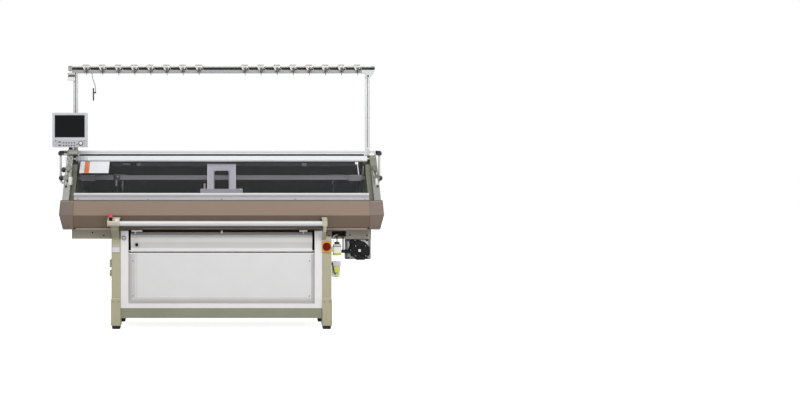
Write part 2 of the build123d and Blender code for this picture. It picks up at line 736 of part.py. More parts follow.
def side_plate_right():
    """Side plate: thick outer housing, lower inner plate, shoulder for the hinge bar."""
    outer = face([
        (PLATE_FRONT_LOW, APRON_TOP), (PLATE_FRONT_TOP, PLATE_TOP - 8), (PLATE_FRONT_TOP + 8, PLATE_TOP),
        (PLATE_BACK_TOP, PLATE_TOP), (PLATE_BACK_LOW, APRON_TOP),
    ])
    plate = along_x(outer, PLATE_MID, PLATE_OUT)
    top = PLATE_TOP - PLATE_SHOULDER * 3
    inner = face([
        (PLATE_FRONT_LOW + PLATE_STEP, APRON_TOP), (PLATE_FRONT_TOP - 52, PLATE_TOP - PLATE_CURVE),
        (PLATE_FRONT_TOP - 28, top), (PLATE_BACK_TOP - 28, top), (PLATE_BACK_LOW - PLATE_STEP, APRON_TOP),
    ])
    inner = fillet(inner.vertices().sort_by(Axis.Y)[1], PLATE_SHOULDER)
    plate += along_x(inner, PLATE_IN, PLATE_MID)
    plate += block(PLATE_IN + 7, PLATE_MID, BED_Y - 7, PLATE_BACK_TOP - 28, top - 1, PLATE_TOP)
    return plate - rod_x(PLATE_MID - 1, PLATE_MID + HINGE_PIN_LENGTH, HINGE_Y, HINGE_Z, HINGE_PIN + RUNNING)


def side_plate_left():
    """The other side plate."""
    return other_side(side_plate_right())


def slotted_bar(depth, height, slot, slot_depth, at):
    """Section (Y, Z) of a drawn bar with a slot in its front and back face."""
    section = Rectangle(depth, height)
    for side in (-1, 1):
        section -= Pos(side * (depth - slot_depth) / 2, at) * Rectangle(slot_depth, slot)
    return section


def top_rail():
    """Fixed rail over the hood."""
    section = slotted_bar(TOP_RAIL_DEPTH, TOP_RAIL_HEIGHT, 6, 4, -6)
    return along_x(Pos(BED_Y, TOP_RAIL_Z + TOP_RAIL_HEIGHT / 2) * section, -TOP_RAIL_HALF, TOP_RAIL_HALF)


def rear_hood():
    """Folded rear hood with its end cheeks, and the duct strip inside it."""
    low = (REAR_LIP - 8, APRON_TOP + CLEAR)
    high = (PLATE_BACK_TOP, TOP_RAIL_Z - 5)
    points = [(REAR_LIP - 60, low[1]), low, high, (BED_Y + 30, TOP_RAIL_Z), (BED_Y - 7, TOP_RAIL_Z)]
    hood = along_x(folded(points, HOOD_WALL), -HOOD_HALF, HOOD_HALF)

    def inner_y(z):
        return high[0] + (high[1] - z) * (low[0] - high[0]) / (high[1] - low[1]) - HOOD_WALL

    top = DUCT_Z + DUCT_HEIGHT
    front = inner_y(top) - DUCT_DEPTH
    duct = face([(front, DUCT_Z), (inner_y(DUCT_Z), DUCT_Z), (inner_y(top), top), (front, top)])
    hood += along_x(duct, -DUCT_HALF + 2 * BLOCK_LENGTH, DUCT_HALF)
    cheek = face([
        (inner_y(low[1]), low[1]), (inner_y(high[1]), high[1]),
        (inner_y(high[1]) - HOOD_CHEEK_TOP, high[1]), (inner_y(low[1]) - HOOD_CHEEK_FOOT, low[1]),
    ])
    for inner, outer in ((-HOOD_HALF, HOOD_WALL - HOOD_HALF), (HOOD_HALF - HOOD_WALL, HOOD_HALF)):
        hood += along_x(cheek, inner, outer)
    return hood


def cover_rails():
    """Hinge bar with its pins, and the handle profile, of the clear cover."""
    bar = Rectangle(HINGE_BAR_DEPTH, HINGE_BAR_HEIGHT)
    bar = chamfer(bar.vertices(), HINGE_BAR_CHAMFER)
    bar = along_x(Pos(HINGE_Y, HINGE_Z) * bar, -HINGE_BAR_HALF, HINGE_BAR_HALF)
    tip = PLATE_MID + HINGE_PIN_LENGTH - 4
    bar += rod_x(-tip, tip, HINGE_Y, HINGE_Z, HINGE_PIN)
    f, z, h = HANDLE_FRONT, HANDLE_Z, HANDLE_HEIGHT
    handle = face([
        (f + 4, z), (f + 30, z), (f + 30, z + 12), (f + HANDLE_DEPTH, z + 26), (f + HANDLE_DEPTH, z + h - 10),
        (f + HANDLE_DEPTH - 10, z + h), (f + 6, z + h), (f, z + h - 6), (f, z + h - 16),
        (f + 12, z + h - 22), (f + 12, z + 24), (f, z + 18), (f, z + 4),
    ])
    handle = along_x(handle, -HANDLE_HALF, HANDLE_HALF)
    return group(bar, handle)


def clear_line():
    """Start and end (Y, Z) of the clear panel's inner face."""
    low = (HANDLE_FRONT + HANDLE_DEPTH - 12, HANDLE_Z + HANDLE_HEIGHT + CLEAR)
    high = (HINGE_Y - HINGE_BAR_DEPTH / 2 - CLEAR - CLEAR_WALL, HINGE_Z - HINGE_BAR_HEIGHT / 2 + 14)
    return low, high


def cover_panel():
    """Clear panel, with its four clips."""
    low, high = clear_line()
    return along_x(folded([low, high], CLEAR_WALL), -CLEAR_HALF, CLEAR_HALF)


def cover_clips():
    """Clips that hold the clear panel to the handle and to the hinge bar."""
    low, high = (Vector(*point) for point in clear_line())
    way = (high - low).normalized()
    off = Vector(-way.Y, way.X)
    skin = CLEAR_WALL + CLEAR
    foot = face([
        low + way + off * skin, low + way * CLIP_LENGTH + off * skin,
        low + way * CLIP_LENGTH + off * (skin + 3), low + way * 6 + off * (skin + 5),
        (low.X - CLIP_LENGTH, low.Y + 4), (low.X - CLIP_LENGTH, low.Y), (low.X - 4, low.Y),
    ])
    return [along_x(foot, x - CLIP_WIDTH / 2, x + CLIP_WIDTH / 2) for x in (-CLIP_X, CLIP_X)]


def needle_bed(grooved_half):
    """Front needle bed: a sloped plate with raised needle walls along its face."""
    section = face([
        bed_point(0, 0), bed_point(BED_LENGTH, 0), bed_point(BED_LENGTH, -BED_THICK),
        (BED_Y - VERGE_GAP, VERGE_Z - BED_THICK / SLOPE),
    ])
    bed = along_x(section, -BED_HALF, BED_HALF)
    count = int(2 * grooved_half / NEEDLE_PITCH)
    comb = [(-grooved_half, -1.0)]
    for index in range(count):
        x = -grooved_half + index * NEEDLE_PITCH
        comb += [(x, NEEDLE_RISE), (x + NEEDLE_WIDTH, NEEDLE_RISE), (x + NEEDLE_WIDTH, 0.4)]
        if index < count - 1:
            comb += [(x + NEEDLE_PITCH, 0.4)]
    comb += [(comb[-1][0], -1.0)]
    start = bed_point(2, 0)
    plane = Plane(origin=(0, start[0], start[1]), x_dir=(1, 0, 0), z_dir=(0, -SLOPE, -SLOPE))
    return bed + extrude(plane * (mirror(face(comb), Plane.XZ) if plane.y_dir.Z < 0 else face(comb)),
                         BED_LENGTH - 20)


def front_needle_bed():
    """Front needle bed."""
    return needle_bed(NEEDLE_HALF)


def rear_needle_bed():
    """Rear needle bed, with the nut of the racking screw under it."""
    bed = behind(needle_bed(NEEDLE_HALF))
    under = BED_Y + (BED_Y - bed_point(BED_LENGTH - 30, -BED_THICK)[0])
    top = bed_point(BED_LENGTH - 30, -BED_THICK)[1]
    nut = block(NUT_X, NUT_X + NUT_LENGTH, SCREW_Y - NUT_SIZE / 2, SCREW_Y + NUT_SIZE / 2,
                SCREW_Z - NUT_SIZE / 2, SCREW_Z + NUT_SIZE / 2)
    arm = face([(SCREW_Y - NUT_SIZE / 2, SCREW_Z), (SCREW_Y + NUT_SIZE / 2, SCREW_Z),
                (under + 8, top - 6), (under - 30, top + 26)])
    nut += along_x(arm, NUT_X, NUT_X + NUT_LENGTH)
    return bed + (nut - rod_x(NUT_X - 1, NUT_X + NUT_LENGTH + 1, SCREW_Y, SCREW_Z, SCREW_RADIUS + RUNNING))


def guide_centre():
    """(Y, Z) of the front guide rail, below the foot of the bed."""
    y, z = bed_point(BED_LENGTH + GUIDE_DROP, -BED_THICK / 2)
    return y, z


def bed_bearers():
    """Plates on the base frame that carry both beds and the rollers, and the carriages' guide rails."""
    gy, gz = guide_centre()
    low = bed_point(BED_LENGTH, -BED_THICK - CLEAR)
    neck = BED_LENGTH + GUIDE_DROP + SHOE_START - SHOE_CLEAR
    half = face([
        (BED_Y - BEARER_FOOT, BASE_TOP), (BED_Y, BASE_TOP), (BED_Y, VERGE_Z - 2.2 * BED_THICK),
        (BED_Y - VERGE_GAP, VERGE_Z - (BED_THICK + CLEAR) / SLOPE), low,
        bed_point(BED_LENGTH + GUIDE_DROP * 0.2, -BED_THICK * 0.6), bed_point(neck, -BED_THICK * 0.9),
        bed_point(neck, -BED_THICK - SHOE_CLEAR), (BED_Y - BEARER_FOOT, BASE_TOP + 30),
    ])
    plates = []
    for x in BEARER_X:
        plate = along_x(half, x - BEARER_THICK / 2, x + BEARER_THICK / 2)
        plate -= rod_x(x - BEARER_THICK, x + BEARER_THICK, gy, gz, GUIDE_RADIUS)
        plate += behind(plate)
        for side in (-1, 1):
            y = BED_Y + side * (ROLLER_RADIUS + ROLLER_NIP / 2)
            if abs(x) < ROLLER_SHAFT_HALF:
                plate -= rod_x(x - BEARER_THICK, x + BEARER_THICK, y, ROLLER_Z, ROLLER_SHAFT + RUNNING)
        if x - BEARER_THICK < BEARER_X[0] + SCREW_LENGTH:
            plate -= rod_x(x - BEARER_THICK, x + BEARER_THICK, SCREW_Y, SCREW_Z, SCREW_RADIUS + RUNNING)
        plates.append(plate)
    rail = rod_x(-BED_HALF, BED_HALF, gy, gz, GUIDE_RADIUS)
    return group(*plates, rail, behind(rail))


def front_carriage():
    """Cam carriage on the front bed: a ribbed slab with a shoe round the guide rail."""
    gy, gz = guide_centre()
    top = CARRIAGE_GAP + CARRIAGE_THICK
    inner = BED_LENGTH + GUIDE_DROP + SHOE_START
    outer = inner + SHOE_WIDTH
    section = face([
        bed_point(CARRIAGE_START, CARRIAGE_GAP), bed_point(BED_LENGTH + 2, CARRIAGE_GAP),
        bed_point(BED_LENGTH + 2, -BED_THICK * 0.1), bed_point(outer, -BED_THICK * 0.1),
        bed_point(outer, top - 14), bed_point(outer - 14, top),
        bed_point(CARRIAGE_START + 6, top), bed_point(CARRIAGE_START, top - 6),
    ])
    slab = along_x(section, -CARRIAGE_HALF, CARRIAGE_HALF)
    shoe = face([
        bed_point(inner, -1), bed_point(outer, -1),
        bed_point(outer, -BED_THICK), bed_point(inner, -BED_THICK),
    ])
    slab += along_x(shoe, -CARRIAGE_HALF, CARRIAGE_HALF)
    slab -= rod_x(-CARRIAGE_HALF - 1, CARRIAGE_HALF + 1, gy, gz, GUIDE_RADIUS + RUNNING)
    for x in (-CARRIAGE_HALF * 0.5, CARRIAGE_HALF * 0.5):
        pocket = face([
            bed_point(CARRIAGE_START + 20, top + 1), bed_point(BED_LENGTH, top + 1),
            bed_point(BED_LENGTH, top - 10), bed_point(CARRIAGE_START + 20, top - 10),
        ])
        slab -= along_x(pocket, x - CARRIAGE_HALF * 0.36, x + CARRIAGE_HALF * 0.36)
    return slab


def rear_carriage():
    """The like carriage on the rear bed."""
    return behind(front_carriage())


def carriage_bridge():
    """Arch that carries both carriages over the yarn carrier rails."""
    t, low, reach, bevel = ARCH_WALL, ARCH_FOOT_Z, ARCH_REACH_LOW, ARCH_BEVEL
    outer = face([
        (BED_Y - reach, low), (BED_Y - ARCH_REACH_TOP - bevel * 0.9, ARCH_TOP - bevel),
        (BED_Y - ARCH_REACH_TOP + 4, ARCH_TOP), (BED_Y + ARCH_REACH_TOP - 4, ARCH_TOP),
        (BED_Y + ARCH_REACH_TOP + bevel * 0.9, ARCH_TOP - bevel), (BED_Y + reach, low),
    ])
    inner = face([
        (BED_Y - reach + t * 1.2, low - 1), (BED_Y - ARCH_REACH_TOP + t * 0.55, ARCH_TOP - t),
        (BED_Y + ARCH_REACH_TOP - t * 0.55, ARCH_TOP - t), (BED_Y + reach - t * 1.2, low - 1),
    ])
    arch = along_x(outer, -ARCH_HALF, ARCH_HALF) - along_x(inner, -ARCH_HALF - 1, ARCH_HALF + 1)
    opening_top = ARCH_TOP - ARCH_BEAM
    opening = Rectangle(2 * ARCH_OPENING, opening_top - low + 40)
    opening = fillet(opening.vertices().group_by(Axis.Y)[-1], ARCH_RADIUS)
    arch -= along_y(Pos(0, (opening_top + low - 40) / 2) * opening, BED_Y - reach - 1, BED_Y + reach + 1)
    base_top = bed_point(CARRIAGE_START + 8, CARRIAGE_GAP + CARRIAGE_THICK + CLEAR)
    base_low = bed_point(BED_LENGTH - 10, CARRIAGE_GAP + CARRIAGE_THICK + CLEAR)
    foot = face([
        base_top, (base_top[0], low), (BED_Y - reach - 14, low), (BED_Y - reach - 14, low - 34),
        base_low, (base_low[0] + 16, base_low[1] + 16), (BED_Y - reach + 8, low - ARCH_FOOT - 20),
        (BED_Y - reach + 8, low - ARCH_FOOT), (base_top[0] - 30, low - ARCH_FOOT),
        (base_top[0] - 16, base_top[1] - 16),
    ])
    plate = along_x(foot, -CARRIAGE_HALF, CARRIAGE_HALF)
    for x in (-CARRIAGE_HALF, -ARCH_HALF, ARCH_HALF - 8, CARRIAGE_HALF - 8):
        rib = face([base_top, (base_top[0], low - 2), (BED_Y - reach, low - 2),
                    (BED_Y - reach, low - 34), base_low])
        plate += along_x(rib, x, x + 8)
    return arch + plate + behind(plate)


def carrier_rails():
    """Four rails for the yarn carriers, and the blocks that hold their ends."""
    neck, head, t, h = RAIL_NECK / 2, RAIL_HEAD, RAIL_THICK / 2, RAIL_HEIGHT
    half = [(-t, 0), (t, 0), (t, head), (neck, head + 2), (neck, h - head - 2), (t, h - head), (t, h),
            (-t, h), (-t, h - head), (-neck, h - head - 2), (-neck, head + 2), (-t, head)]
    solids = []
    for index in range(4):
        y = BED_Y + (index - 1.5) * RAIL_PITCH
        section = face([(y + a, RAIL_Z + b) for a, b in half])
        solids.append(along_x(section, -RAIL_HALF, RAIL_HALF))
    end = face([
        (BED_Y - BLOCK_DEPTH / 2, BLOCK_Z), (BED_Y + BLOCK_DEPTH / 2, BLOCK_Z),
        (BED_Y + BLOCK_DEPTH / 2, BLOCK_TOP - 8), (BED_Y + BLOCK_DEPTH / 2 - 8, BLOCK_TOP),
        (BED_Y - BLOCK_DEPTH / 2 + 8, BLOCK_TOP), (BED_Y - BLOCK_DEPTH / 2, BLOCK_TOP - 8),
    ])
    clamp = along_x(end, RAIL_HALF, RAIL_HALF + BLOCK_LENGTH)
    clamp += block(RAIL_HALF + BLOCK_LENGTH, PLATE_IN, BED_Y - BLOCK_DEPTH / 3, BED_Y + BLOCK_DEPTH / 3,
                   BLOCK_Z + 10, BLOCK_TOP - 12)
    solids += [clamp, other_side(clamp)]
    return group(*solids)


def yarn_carrier(x, rail):
    """Slider on one rail, with a bent arm down to its feeder over the needle gap."""
    y = BED_Y + (rail - 1.5) * RAIL_PITCH
    tip_y = BED_Y + (rail - 1.5) * CARRIER_TIP_PITCH
    low = RAIL_Z - 5
    slider = Pos(y, low + CARRIER_HEIGHT / 2) * Rectangle(CARRIER_DEPTH, CARRIER_HEIGHT)
    slider = chamfer(slider.vertices().group_by(Axis.Y)[-1], 4)
    slider -= Pos(y, RAIL_Z + RAIL_HEIGHT / 2) * Rectangle(
        RAIL_THICK + 2 * RUNNING, RAIL_HEIGHT + 2 * RUNNING)
    body = along_x(slider, x - CARRIER_LENGTH / 2, x + CARRIER_LENGTH / 2)
    body -= block(x - CARRIER_LENGTH * 0.3, x + CARRIER_LENGTH * 0.3,
                  y - CARRIER_DEPTH, y - RAIL_THICK / 2 - 3, low + 14, low + CARRIER_HEIGHT - 16)
    path = [(y, low + 2), (y, low - 22), (tip_y, CARRIER_TIP_Z + 26), (tip_y, CARRIER_TIP_Z + 8)]
    arm = along_x(folded(path, CARRIER_PLATE), x - 9, x + 9)
    cut = face([(x - 30, low - 10), (x - 9, low - 24), (x - 4, CARRIER_TIP_Z), (x - 30, CARRIER_TIP_Z)])
    arm -= along_y(cut, BED_Y - 2 * BLOCK_DEPTH, BED_Y + 2 * BLOCK_DEPTH)
    arm -= along_y(mirror(cut, Plane.YZ.offset(x)), BED_Y - 2 * BLOCK_DEPTH, BED_Y + 2 * BLOCK_DEPTH)
    feeder = rod_z(x, tip_y + CARRIER_PLATE / 2, CARRIER_TIP_Z, CARRIER_TIP_Z + 14, CARRIER_TIP)
    return body + arm + feeder


def gear_section(radius, phase):
    """Toothed outline about its own centre, with straight flanks."""
    step = 360 / GEAR_TEETH
    points = []
    for tooth in range(GEAR_TEETH):
        start = phase + tooth * step
        for share, r in ((0, -0.5), (0.18, 0.5), (TOOTH_SHARE, 0.5), (TOOTH_SHARE + 0.18, -0.5)):
            angle = radians(start + share * step)
            reach = radius + r * TOOTH_HEIGHT
            points.append((reach * cos(angle), reach * sin(angle)))
    return face(points)


def takedown_roller(side):
    """Knurled take-down roller with its shaft and gear."""
    y = BED_Y + side * (ROLLER_RADIUS + ROLLER_NIP / 2)
    roller = rod_x(-ROLLER_HALF, ROLLER_HALF, y, ROLLER_Z, ROLLER_RADIUS)
    shaft = rod_x(-ROLLER_SHAFT_HALF, ROLLER_SHAFT_HALF + GEAR_WIDTH, y, ROLLER_Z, ROLLER_SHAFT)
    pitch = ROLLER_RADIUS + ROLLER_NIP / 2 - 0.25
    step = 360 / GEAR_TEETH
    middle = (TOOTH_SHARE + 0.18) / 2 * step
    phase = -middle if side < 0 else 180 - middle + step / 2
    gear = along_x(Pos(y, ROLLER_Z) * gear_section(pitch, phase), GEAR_X, GEAR_X + GEAR_WIDTH)
    return roller + shaft + gear


def racking_screw():
    """Screw that shifts the rear bed, with its hand wheel end."""
    x0 = BEARER_X[0] - BEARER_THICK
    screw = rod_x(x0, x0 + SCREW_LENGTH, SCREW_Y, SCREW_Z, SCREW_RADIUS)
    wheel = rod_x(x0 - 16, x0, SCREW_Y, SCREW_Z, SCREW_KNOB)
    return screw + chamfer(wheel.edges(), 2)


def pulley(x, y, z, radius, width):
    """Flanged belt pulley on an axis along Y, centred at y."""
    wheel = rod_y(x, y - width / 2, y + width / 2, z, radius)
    for end in (y - width / 2 - 2, y + width / 2):
        wheel += rod_y(x, end, end + 2, z, radius + PULLEY_FLANGE)
    return wheel


def belt(x0, z0, r0, x1, z1, r1, y):
    """Closed belt round two pulleys."""
    gap = CLEAR

    def loop(grow):
        a = Pos(x0, z0) * Circle(r0 + grow)
        b = Pos(x1, z1) * Circle(r1 + grow)
        if z0 == z1:
            low, high = min(x0, x1), max(x0, x1)
            mid = face([(low, z0 - r0 - grow), (high, z0 - r1 - grow),
                        (high, z0 + r1 + grow), (low, z0 + r0 + grow)])
        else:
            mid = face([(x0 - r0 - grow, z0), (x0 + r0 + grow, z0),
                        (x1 + r1 + grow, z1), (x1 - r1 - grow, z1)])
        return a + b + mid

    return along_y(loop(gap + BELT_THICK) - loop(gap), y - BELT_WIDTH / 2, y + BELT_WIDTH / 2)


def drive_belts():
    """Carriage belt along the front bed, and the belt up from the motor."""
    carriage = belt(-PULLEY_X, PULLEY_Z, PULLEY_RADIUS, PULLEY_X, PULLEY_Z, PULLEY_RADIUS, PULLEY_Y)
    motor = belt(PULLEY_X, MOTOR_Z, MOTOR_PULLEY_RADIUS, PULLEY_X, PULLEY_Z, REDUCER_RADIUS, MOTOR_BELT_Y)
    return group(carriage, motor)


def drive_pulley():
    """Double pulley: the carriage belt's and the motor belt's, on one axle."""
    wheel = pulley(PULLEY_X, PULLEY_Y, PULLEY_Z, PULLEY_RADIUS, PULLEY_WIDTH)
    wheel += pulley(PULLEY_X, MOTOR_BELT_Y, PULLEY_Z, REDUCER_RADIUS, PULLEY_WIDTH)
    return wheel + rod_y(PULLEY_X, PULLEY_Y - 14, MOTOR_BELT_Y + 70, PULLEY_Z, AXLE_RADIUS)


def idler_pulley():
    """Idler at the other end of the carriage belt."""
    wheel = pulley(-PULLEY_X, PULLEY_Y, PULLEY_Z, PULLEY_RADIUS, PULLEY_WIDTH)
    return wheel + rod_y(-PULLEY_X, PULLEY_Y - 14, MOTOR_BELT_Y + 70, PULLEY_Z, AXLE_RADIUS)


def motor_pulley():
    """Pulley on the motor's shaft."""
    wheel = pulley(PULLEY_X, MOTOR_BELT_Y, MOTOR_Z, MOTOR_PULLEY_RADIUS, PULLEY_WIDTH)
    shaft_front = MOTOR_PLATE_FRONT - MOTOR_BOSS + 2
    return wheel + rod_y(PULLEY_X, shaft_front, MOTOR_BELT_Y, MOTOR_Z, AXLE_RADIUS)


def axle_brackets():
    """Brackets on the base frame that hold the pulley axles."""
    brackets = []
    y0 = MOTOR_BELT_Y + 34
    for x in (-PULLEY_X, PULLEY_X):
        foot = face([(x - 50, LEG_TOP + BASE_WALL), (x + 50, LEG_TOP + BASE_WALL),
                     (x + 18, PULLEY_Z + 24), (x - 18, PULLEY_Z + 24)])
        bracket = along_y(foot, y0, y0 + AXLE_PLATE * 2)
        brackets.append(bracket - rod_y(x, y0 - 1, y0 + AXLE_PLATE * 2 + 1, PULLEY_Z, AXLE_RADIUS + RUNNING))
    return brackets


def motor_plate():
    """Plate under the base frame, with the brackets of the pulley axles."""
    plate = RectangleRounded(MOTOR_PLATE_WIDTH, MOTOR_PLATE_HEIGHT, 8)
    plate = Pos(MOTOR_PLATE_X, LEG_TOP - MOTOR_PLATE_HEIGHT / 2) * plate
    plate -= Pos(PULLEY_X, MOTOR_Z) * Circle(AXLE_RADIUS + 4)
    plate = along_y(plate, MOTOR_PLATE_FRONT, MOTOR_PLATE_FRONT + MOTOR_PLATE_THICK)
    return group(plate, *axle_brackets())


def drive_motor():
    """Servo motor, its boss, rear cover and the plug out to the left."""
    front = MOTOR_PLATE_FRONT - MOTOR_LENGTH
    body = RegularPolygon(MOTOR_RADIUS, 8, major_radius=False, rotation=22.5)
    motor = along_y(Pos(PULLEY_X, MOTOR_Z) * body, front, MOTOR_PLATE_FRONT - MOTOR_BOSS * 0.4)
    motor += rod_y(PULLEY_X, MOTOR_PLATE_FRONT - MOTOR_BOSS * 0.4 - 1, MOTOR_PLATE_FRONT,
                   MOTOR_Z, MOTOR_RADIUS * 0.8)
    hub = rod_y(PULLEY_X + 24, front - 12, front + 1, MOTOR_Z, MOTOR_RADIUS * 0.52)
    motor += chamfer(hub.edges().group_by(Axis.Y)[0], 5)
    plug_z = MOTOR_Z - 10
    motor += block(PULLEY_X - PLUG_LENGTH, PULLEY_X - 20, front - 8, front + 22, plug_z - 12, plug_z + 12)
    return motor - rod_y(PULLEY_X, front + 30, MOTOR_PLATE_FRONT + 1, MOTOR_Z, AXLE_RADIUS + RUNNING)


def bar_bore(x0, x1):
    """The bore that the operating bar's journal turns in."""
    return rod_x(x0, x1, BAR_Y, BAR_Z, BAR_JOURNAL + RUNNING)


def column(x, width, low, top_front, top_back):
    """Swan-necked column from the leg's face up to a box on the operating bar."""
    foot = LEG_FRONT - CLEAR
    section = face([
        (foot, low), (foot - 8, low), (foot - 8, LEG_TOP - 2), (top_front + 18, STOP_BOTTOM - 30),
        (top_front, STOP_BOTTOM + 1), (top_back, STOP_BOTTOM + 1), (foot, LEG_TOP + 26),
    ])
    return along_x(section, x - width / 2, x + width / 2)


def stop_normal():
    """Unit direction out of the stop box's sloped top, as (Y, Z)."""
    rise = STOP_BACK_TOP - STOP_FRONT_TOP
    run = STOP_BACK - STOP_FRONT
    length = (rise ** 2 + run ** 2) ** 0.5
    return (-rise / length, run / length)


def stop_axis():
    """Plane on the stop box's sloped top, under the stop button."""
    ny, nz = stop_normal()
    y = (STOP_FRONT + STOP_BACK) / 2
    z = (STOP_FRONT_TOP + STOP_BACK_TOP) / 2
    return Plane(origin=(STOP_BUTTON_X, y, z), x_dir=(1, 0, 0), z_dir=(0, ny, nz))


def box_section():
    """Section (Y, Z) of the boxes at both ends of the operating bar."""
    section = face([
        (STOP_FRONT, STOP_BOTTOM), (STOP_BACK, STOP_BOTTOM),
        (STOP_BACK, STOP_BACK_TOP), (STOP_FRONT, STOP_FRONT_TOP),
    ])
    return fillet(section.vertices().group_by(Axis.Y)[-1], STOP_EDGE)


def estop_box():
    """Box at the bar's left end, on its column, with the stop button's collar."""
    section = box_section()
    x0 = STOP_X - STOP_WIDTH / 2
    body = along_x(section, x0, x0 + STOP_WIDTH)
    body += column(STOP_X + 8, COLUMN_WIDTH, LEG_TOP - COLUMN_WIDTH, STOP_FRONT + 4, STOP_BACK)
    body -= bar_bore(x0 + STOP_WIDTH - BAR_JOURNAL_LENGTH - 1, x0 + STOP_WIDTH + 1)
    seat = stop_axis()
    body += extrude(seat * Circle(STOP_COLLAR), STOP_COLLAR_HEIGHT)
    bore = seat.offset(-STOP_COLLAR_HEIGHT) * Circle(STOP_STEM + RUNNING)
    return body - extrude(bore, 3 * STOP_COLLAR_HEIGHT)


def estop_button():
    """Mushroom push button on its stem."""
    seat = stop_axis().offset(STOP_COLLAR_HEIGHT + STOP_TRAVEL + 1)
    stem = extrude(stop_axis().offset(-STOP_COLLAR_HEIGHT + STOP_TRAVEL + 1) * Circle(STOP_STEM),
                   2 * STOP_COLLAR_HEIGHT)
    head = extrude(seat * Circle(STOP_BUTTON_RADIUS), STOP_BUTTON_HEIGHT - STOP_TRAVEL - 5)
    top = head.faces().sort_by(Axis.Z)[-1]
    return chamfer(top.edges(), STOP_BUTTON_EDGE) + stem


def bar_bracket():
    """Bracket at the bar's right end."""
    section = box_section()
    x0 = BRACKET_X - BRACKET_WIDTH / 2
    body = along_x(section, x0, x0 + BRACKET_WIDTH)
    low = SWITCH_Z + SWITCH_HEIGHT / 2 + CLEAR
    body += column(BRACKET_STEM_X, BRACKET_STEM, low, STOP_FRONT + 4, STOP_BACK)
    foot = LEG_FRONT - CLEAR
    body += block(LEG_IN + 4, LEG_OUT - 4, foot - 8, foot, low, LEG_TOP + 24)
    return body - bar_bore(x0 - 1, x0 + BAR_JOURNAL_LENGTH + 1)


def operating_bar():
    """Tube between the two boxes, with a journal at each end."""
    left = STOP_X + STOP_WIDTH / 2
    right = BRACKET_X - BRACKET_WIDTH / 2
    bar = rod_x(left + RUNNING, right - RUNNING, BAR_Y, BAR_Z, BAR_RADIUS)
    return bar + rod_x(left - BAR_JOURNAL_LENGTH, right + BAR_JOURNAL_LENGTH, BAR_Y, BAR_Z, BAR_JOURNAL)


def switch_plate():
    """Plain plate of the main switch, on the right leg."""
    plate = RectangleRounded(SWITCH_WIDTH, SWITCH_HEIGHT, 4)
    plate = along_y(Pos(SWITCH_X, SWITCH_Z) * plate, LEG_FRONT - SWITCH_PLATE, LEG_FRONT)
    return plate - rod_y(SWITCH_X, LEG_FRONT - SWITCH_PLATE - 1, LEG_FRONT - 1, SWITCH_Z, 6 + RUNNING)


def switch_knob():
    """Rotary knob: a disc with a grip bar."""
    front = LEG_FRONT - SWITCH_PLATE - CLEAR
    disc = rod_y(SWITCH_X, front - SWITCH_DISC, front, SWITCH_Z, SWITCH_RADIUS)
    disc = chamfer(disc.edges().group_by(Axis.Y)[0], 3)
    grip = block(SWITCH_X - SWITCH_GRIP_WIDTH / 2, SWITCH_X + SWITCH_GRIP_WIDTH / 2,
                 front - SWITCH_DISC - SWITCH_GRIP, front - SWITCH_DISC + 1,
                 SWITCH_Z - SWITCH_RADIUS * 0.86, SWITCH_Z + SWITCH_RADIUS * 0.86)
    grip = chamfer(grip.edges().group_by(Axis.Y)[0], 3)
    return disc + grip + rod_y(SWITCH_X, front - 1, LEG_FRONT - 1.5, SWITCH_Z, 6)


def yarn_posts():
    """Two slotted posts on the side plates."""
    section = Rectangle(POST_SIZE, POST_SIZE)
    for place in ((0, -1), (0, 1), (-1, 0), (1, 0)):
        reach = (POST_SIZE - POST_SLOT_DEPTH) / 2
        size = (POST_SLOT, POST_SLOT_DEPTH) if place[0] == 0 else (POST_SLOT_DEPTH, POST_SLOT)
        section -= Pos(place[0] * reach, place[1] * reach) * Rectangle(*size)
    post = along_z(Pos(POST_X, BED_Y) * section, PLATE_TOP, STAND_Z)
    return group(post, other_side(post))


def yarn_crossbar():
    """Slotted cross bar of the yarn stand, its cap, plug, gussets and the cord's gland."""
    middle = STAND_Z + STAND_HEIGHT / 2
    section = slotted_bar(STAND_DEPTH, STAND_HEIGHT, STAND_SLOT, STAND_SLOT_DEPTH,
                          STAND_SLOT_Z + STAND_SLOT / 2 - middle)
    bar = along_x(Pos(BED_Y, middle) * section, -STAND_HALF + CAP_LENGTH, STAND_HALF - CAP_LENGTH)
    y0, y1 = BED_Y - STAND_DEPTH / 2, BED_Y + STAND_DEPTH / 2
    cap = block(-STAND_HALF, -STAND_HALF + CAP_LENGTH, y0 - CAP_OUT, y1 + CAP_OUT,
                STAND_SLOT_Z - 6, STAND_Z + STAND_HEIGHT + CAP_OUT)
    cap = chamfer(cap.edges().filter_by(Axis.Z), 3)
    plug = face([
        (STAND_HALF - CAP_LENGTH, STAND_Z), (STAND_HALF - 16, STAND_Z), (STAND_HALF, STAND_Z + 16),
        (STAND_HALF, STAND_Z + STAND_HEIGHT), (STAND_HALF - CAP_LENGTH, STAND_Z + STAND_HEIGHT),
    ])
    plug = along_y(plug, y0, y1)
    brace = face([
        (POST_X - POST_SIZE / 2, STAND_Z), (POST_X + POST_SIZE / 2 + GUSSET_REACH, STAND_Z),
        (POST_X + POST_SIZE / 2, STAND_Z - GUSSET_REACH), (POST_X - POST_SIZE / 2, STAND_Z - GUSSET_REACH),
    ])
    y = BED_Y - POST_SIZE / 2
    brace = along_y(brace, y - GUSSET_THICK, y)
    gland_x, gland_y, _ = CORD_POINTS[0]
    gland = rod_z(gland_x, gland_y, STAND_Z - GLAND_HEIGHT, STAND_Z, GLAND_RADIUS)
    return group(bar, cap, plug, brace, gland)


def tension_places():
    """X of each yarn tension unit along the cross bar."""
    steps = [TENSION_FIRST + index * TENSION_PITCH for index in range(TENSION_COUNT)]
    return [-x for x in reversed(steps)] + steps


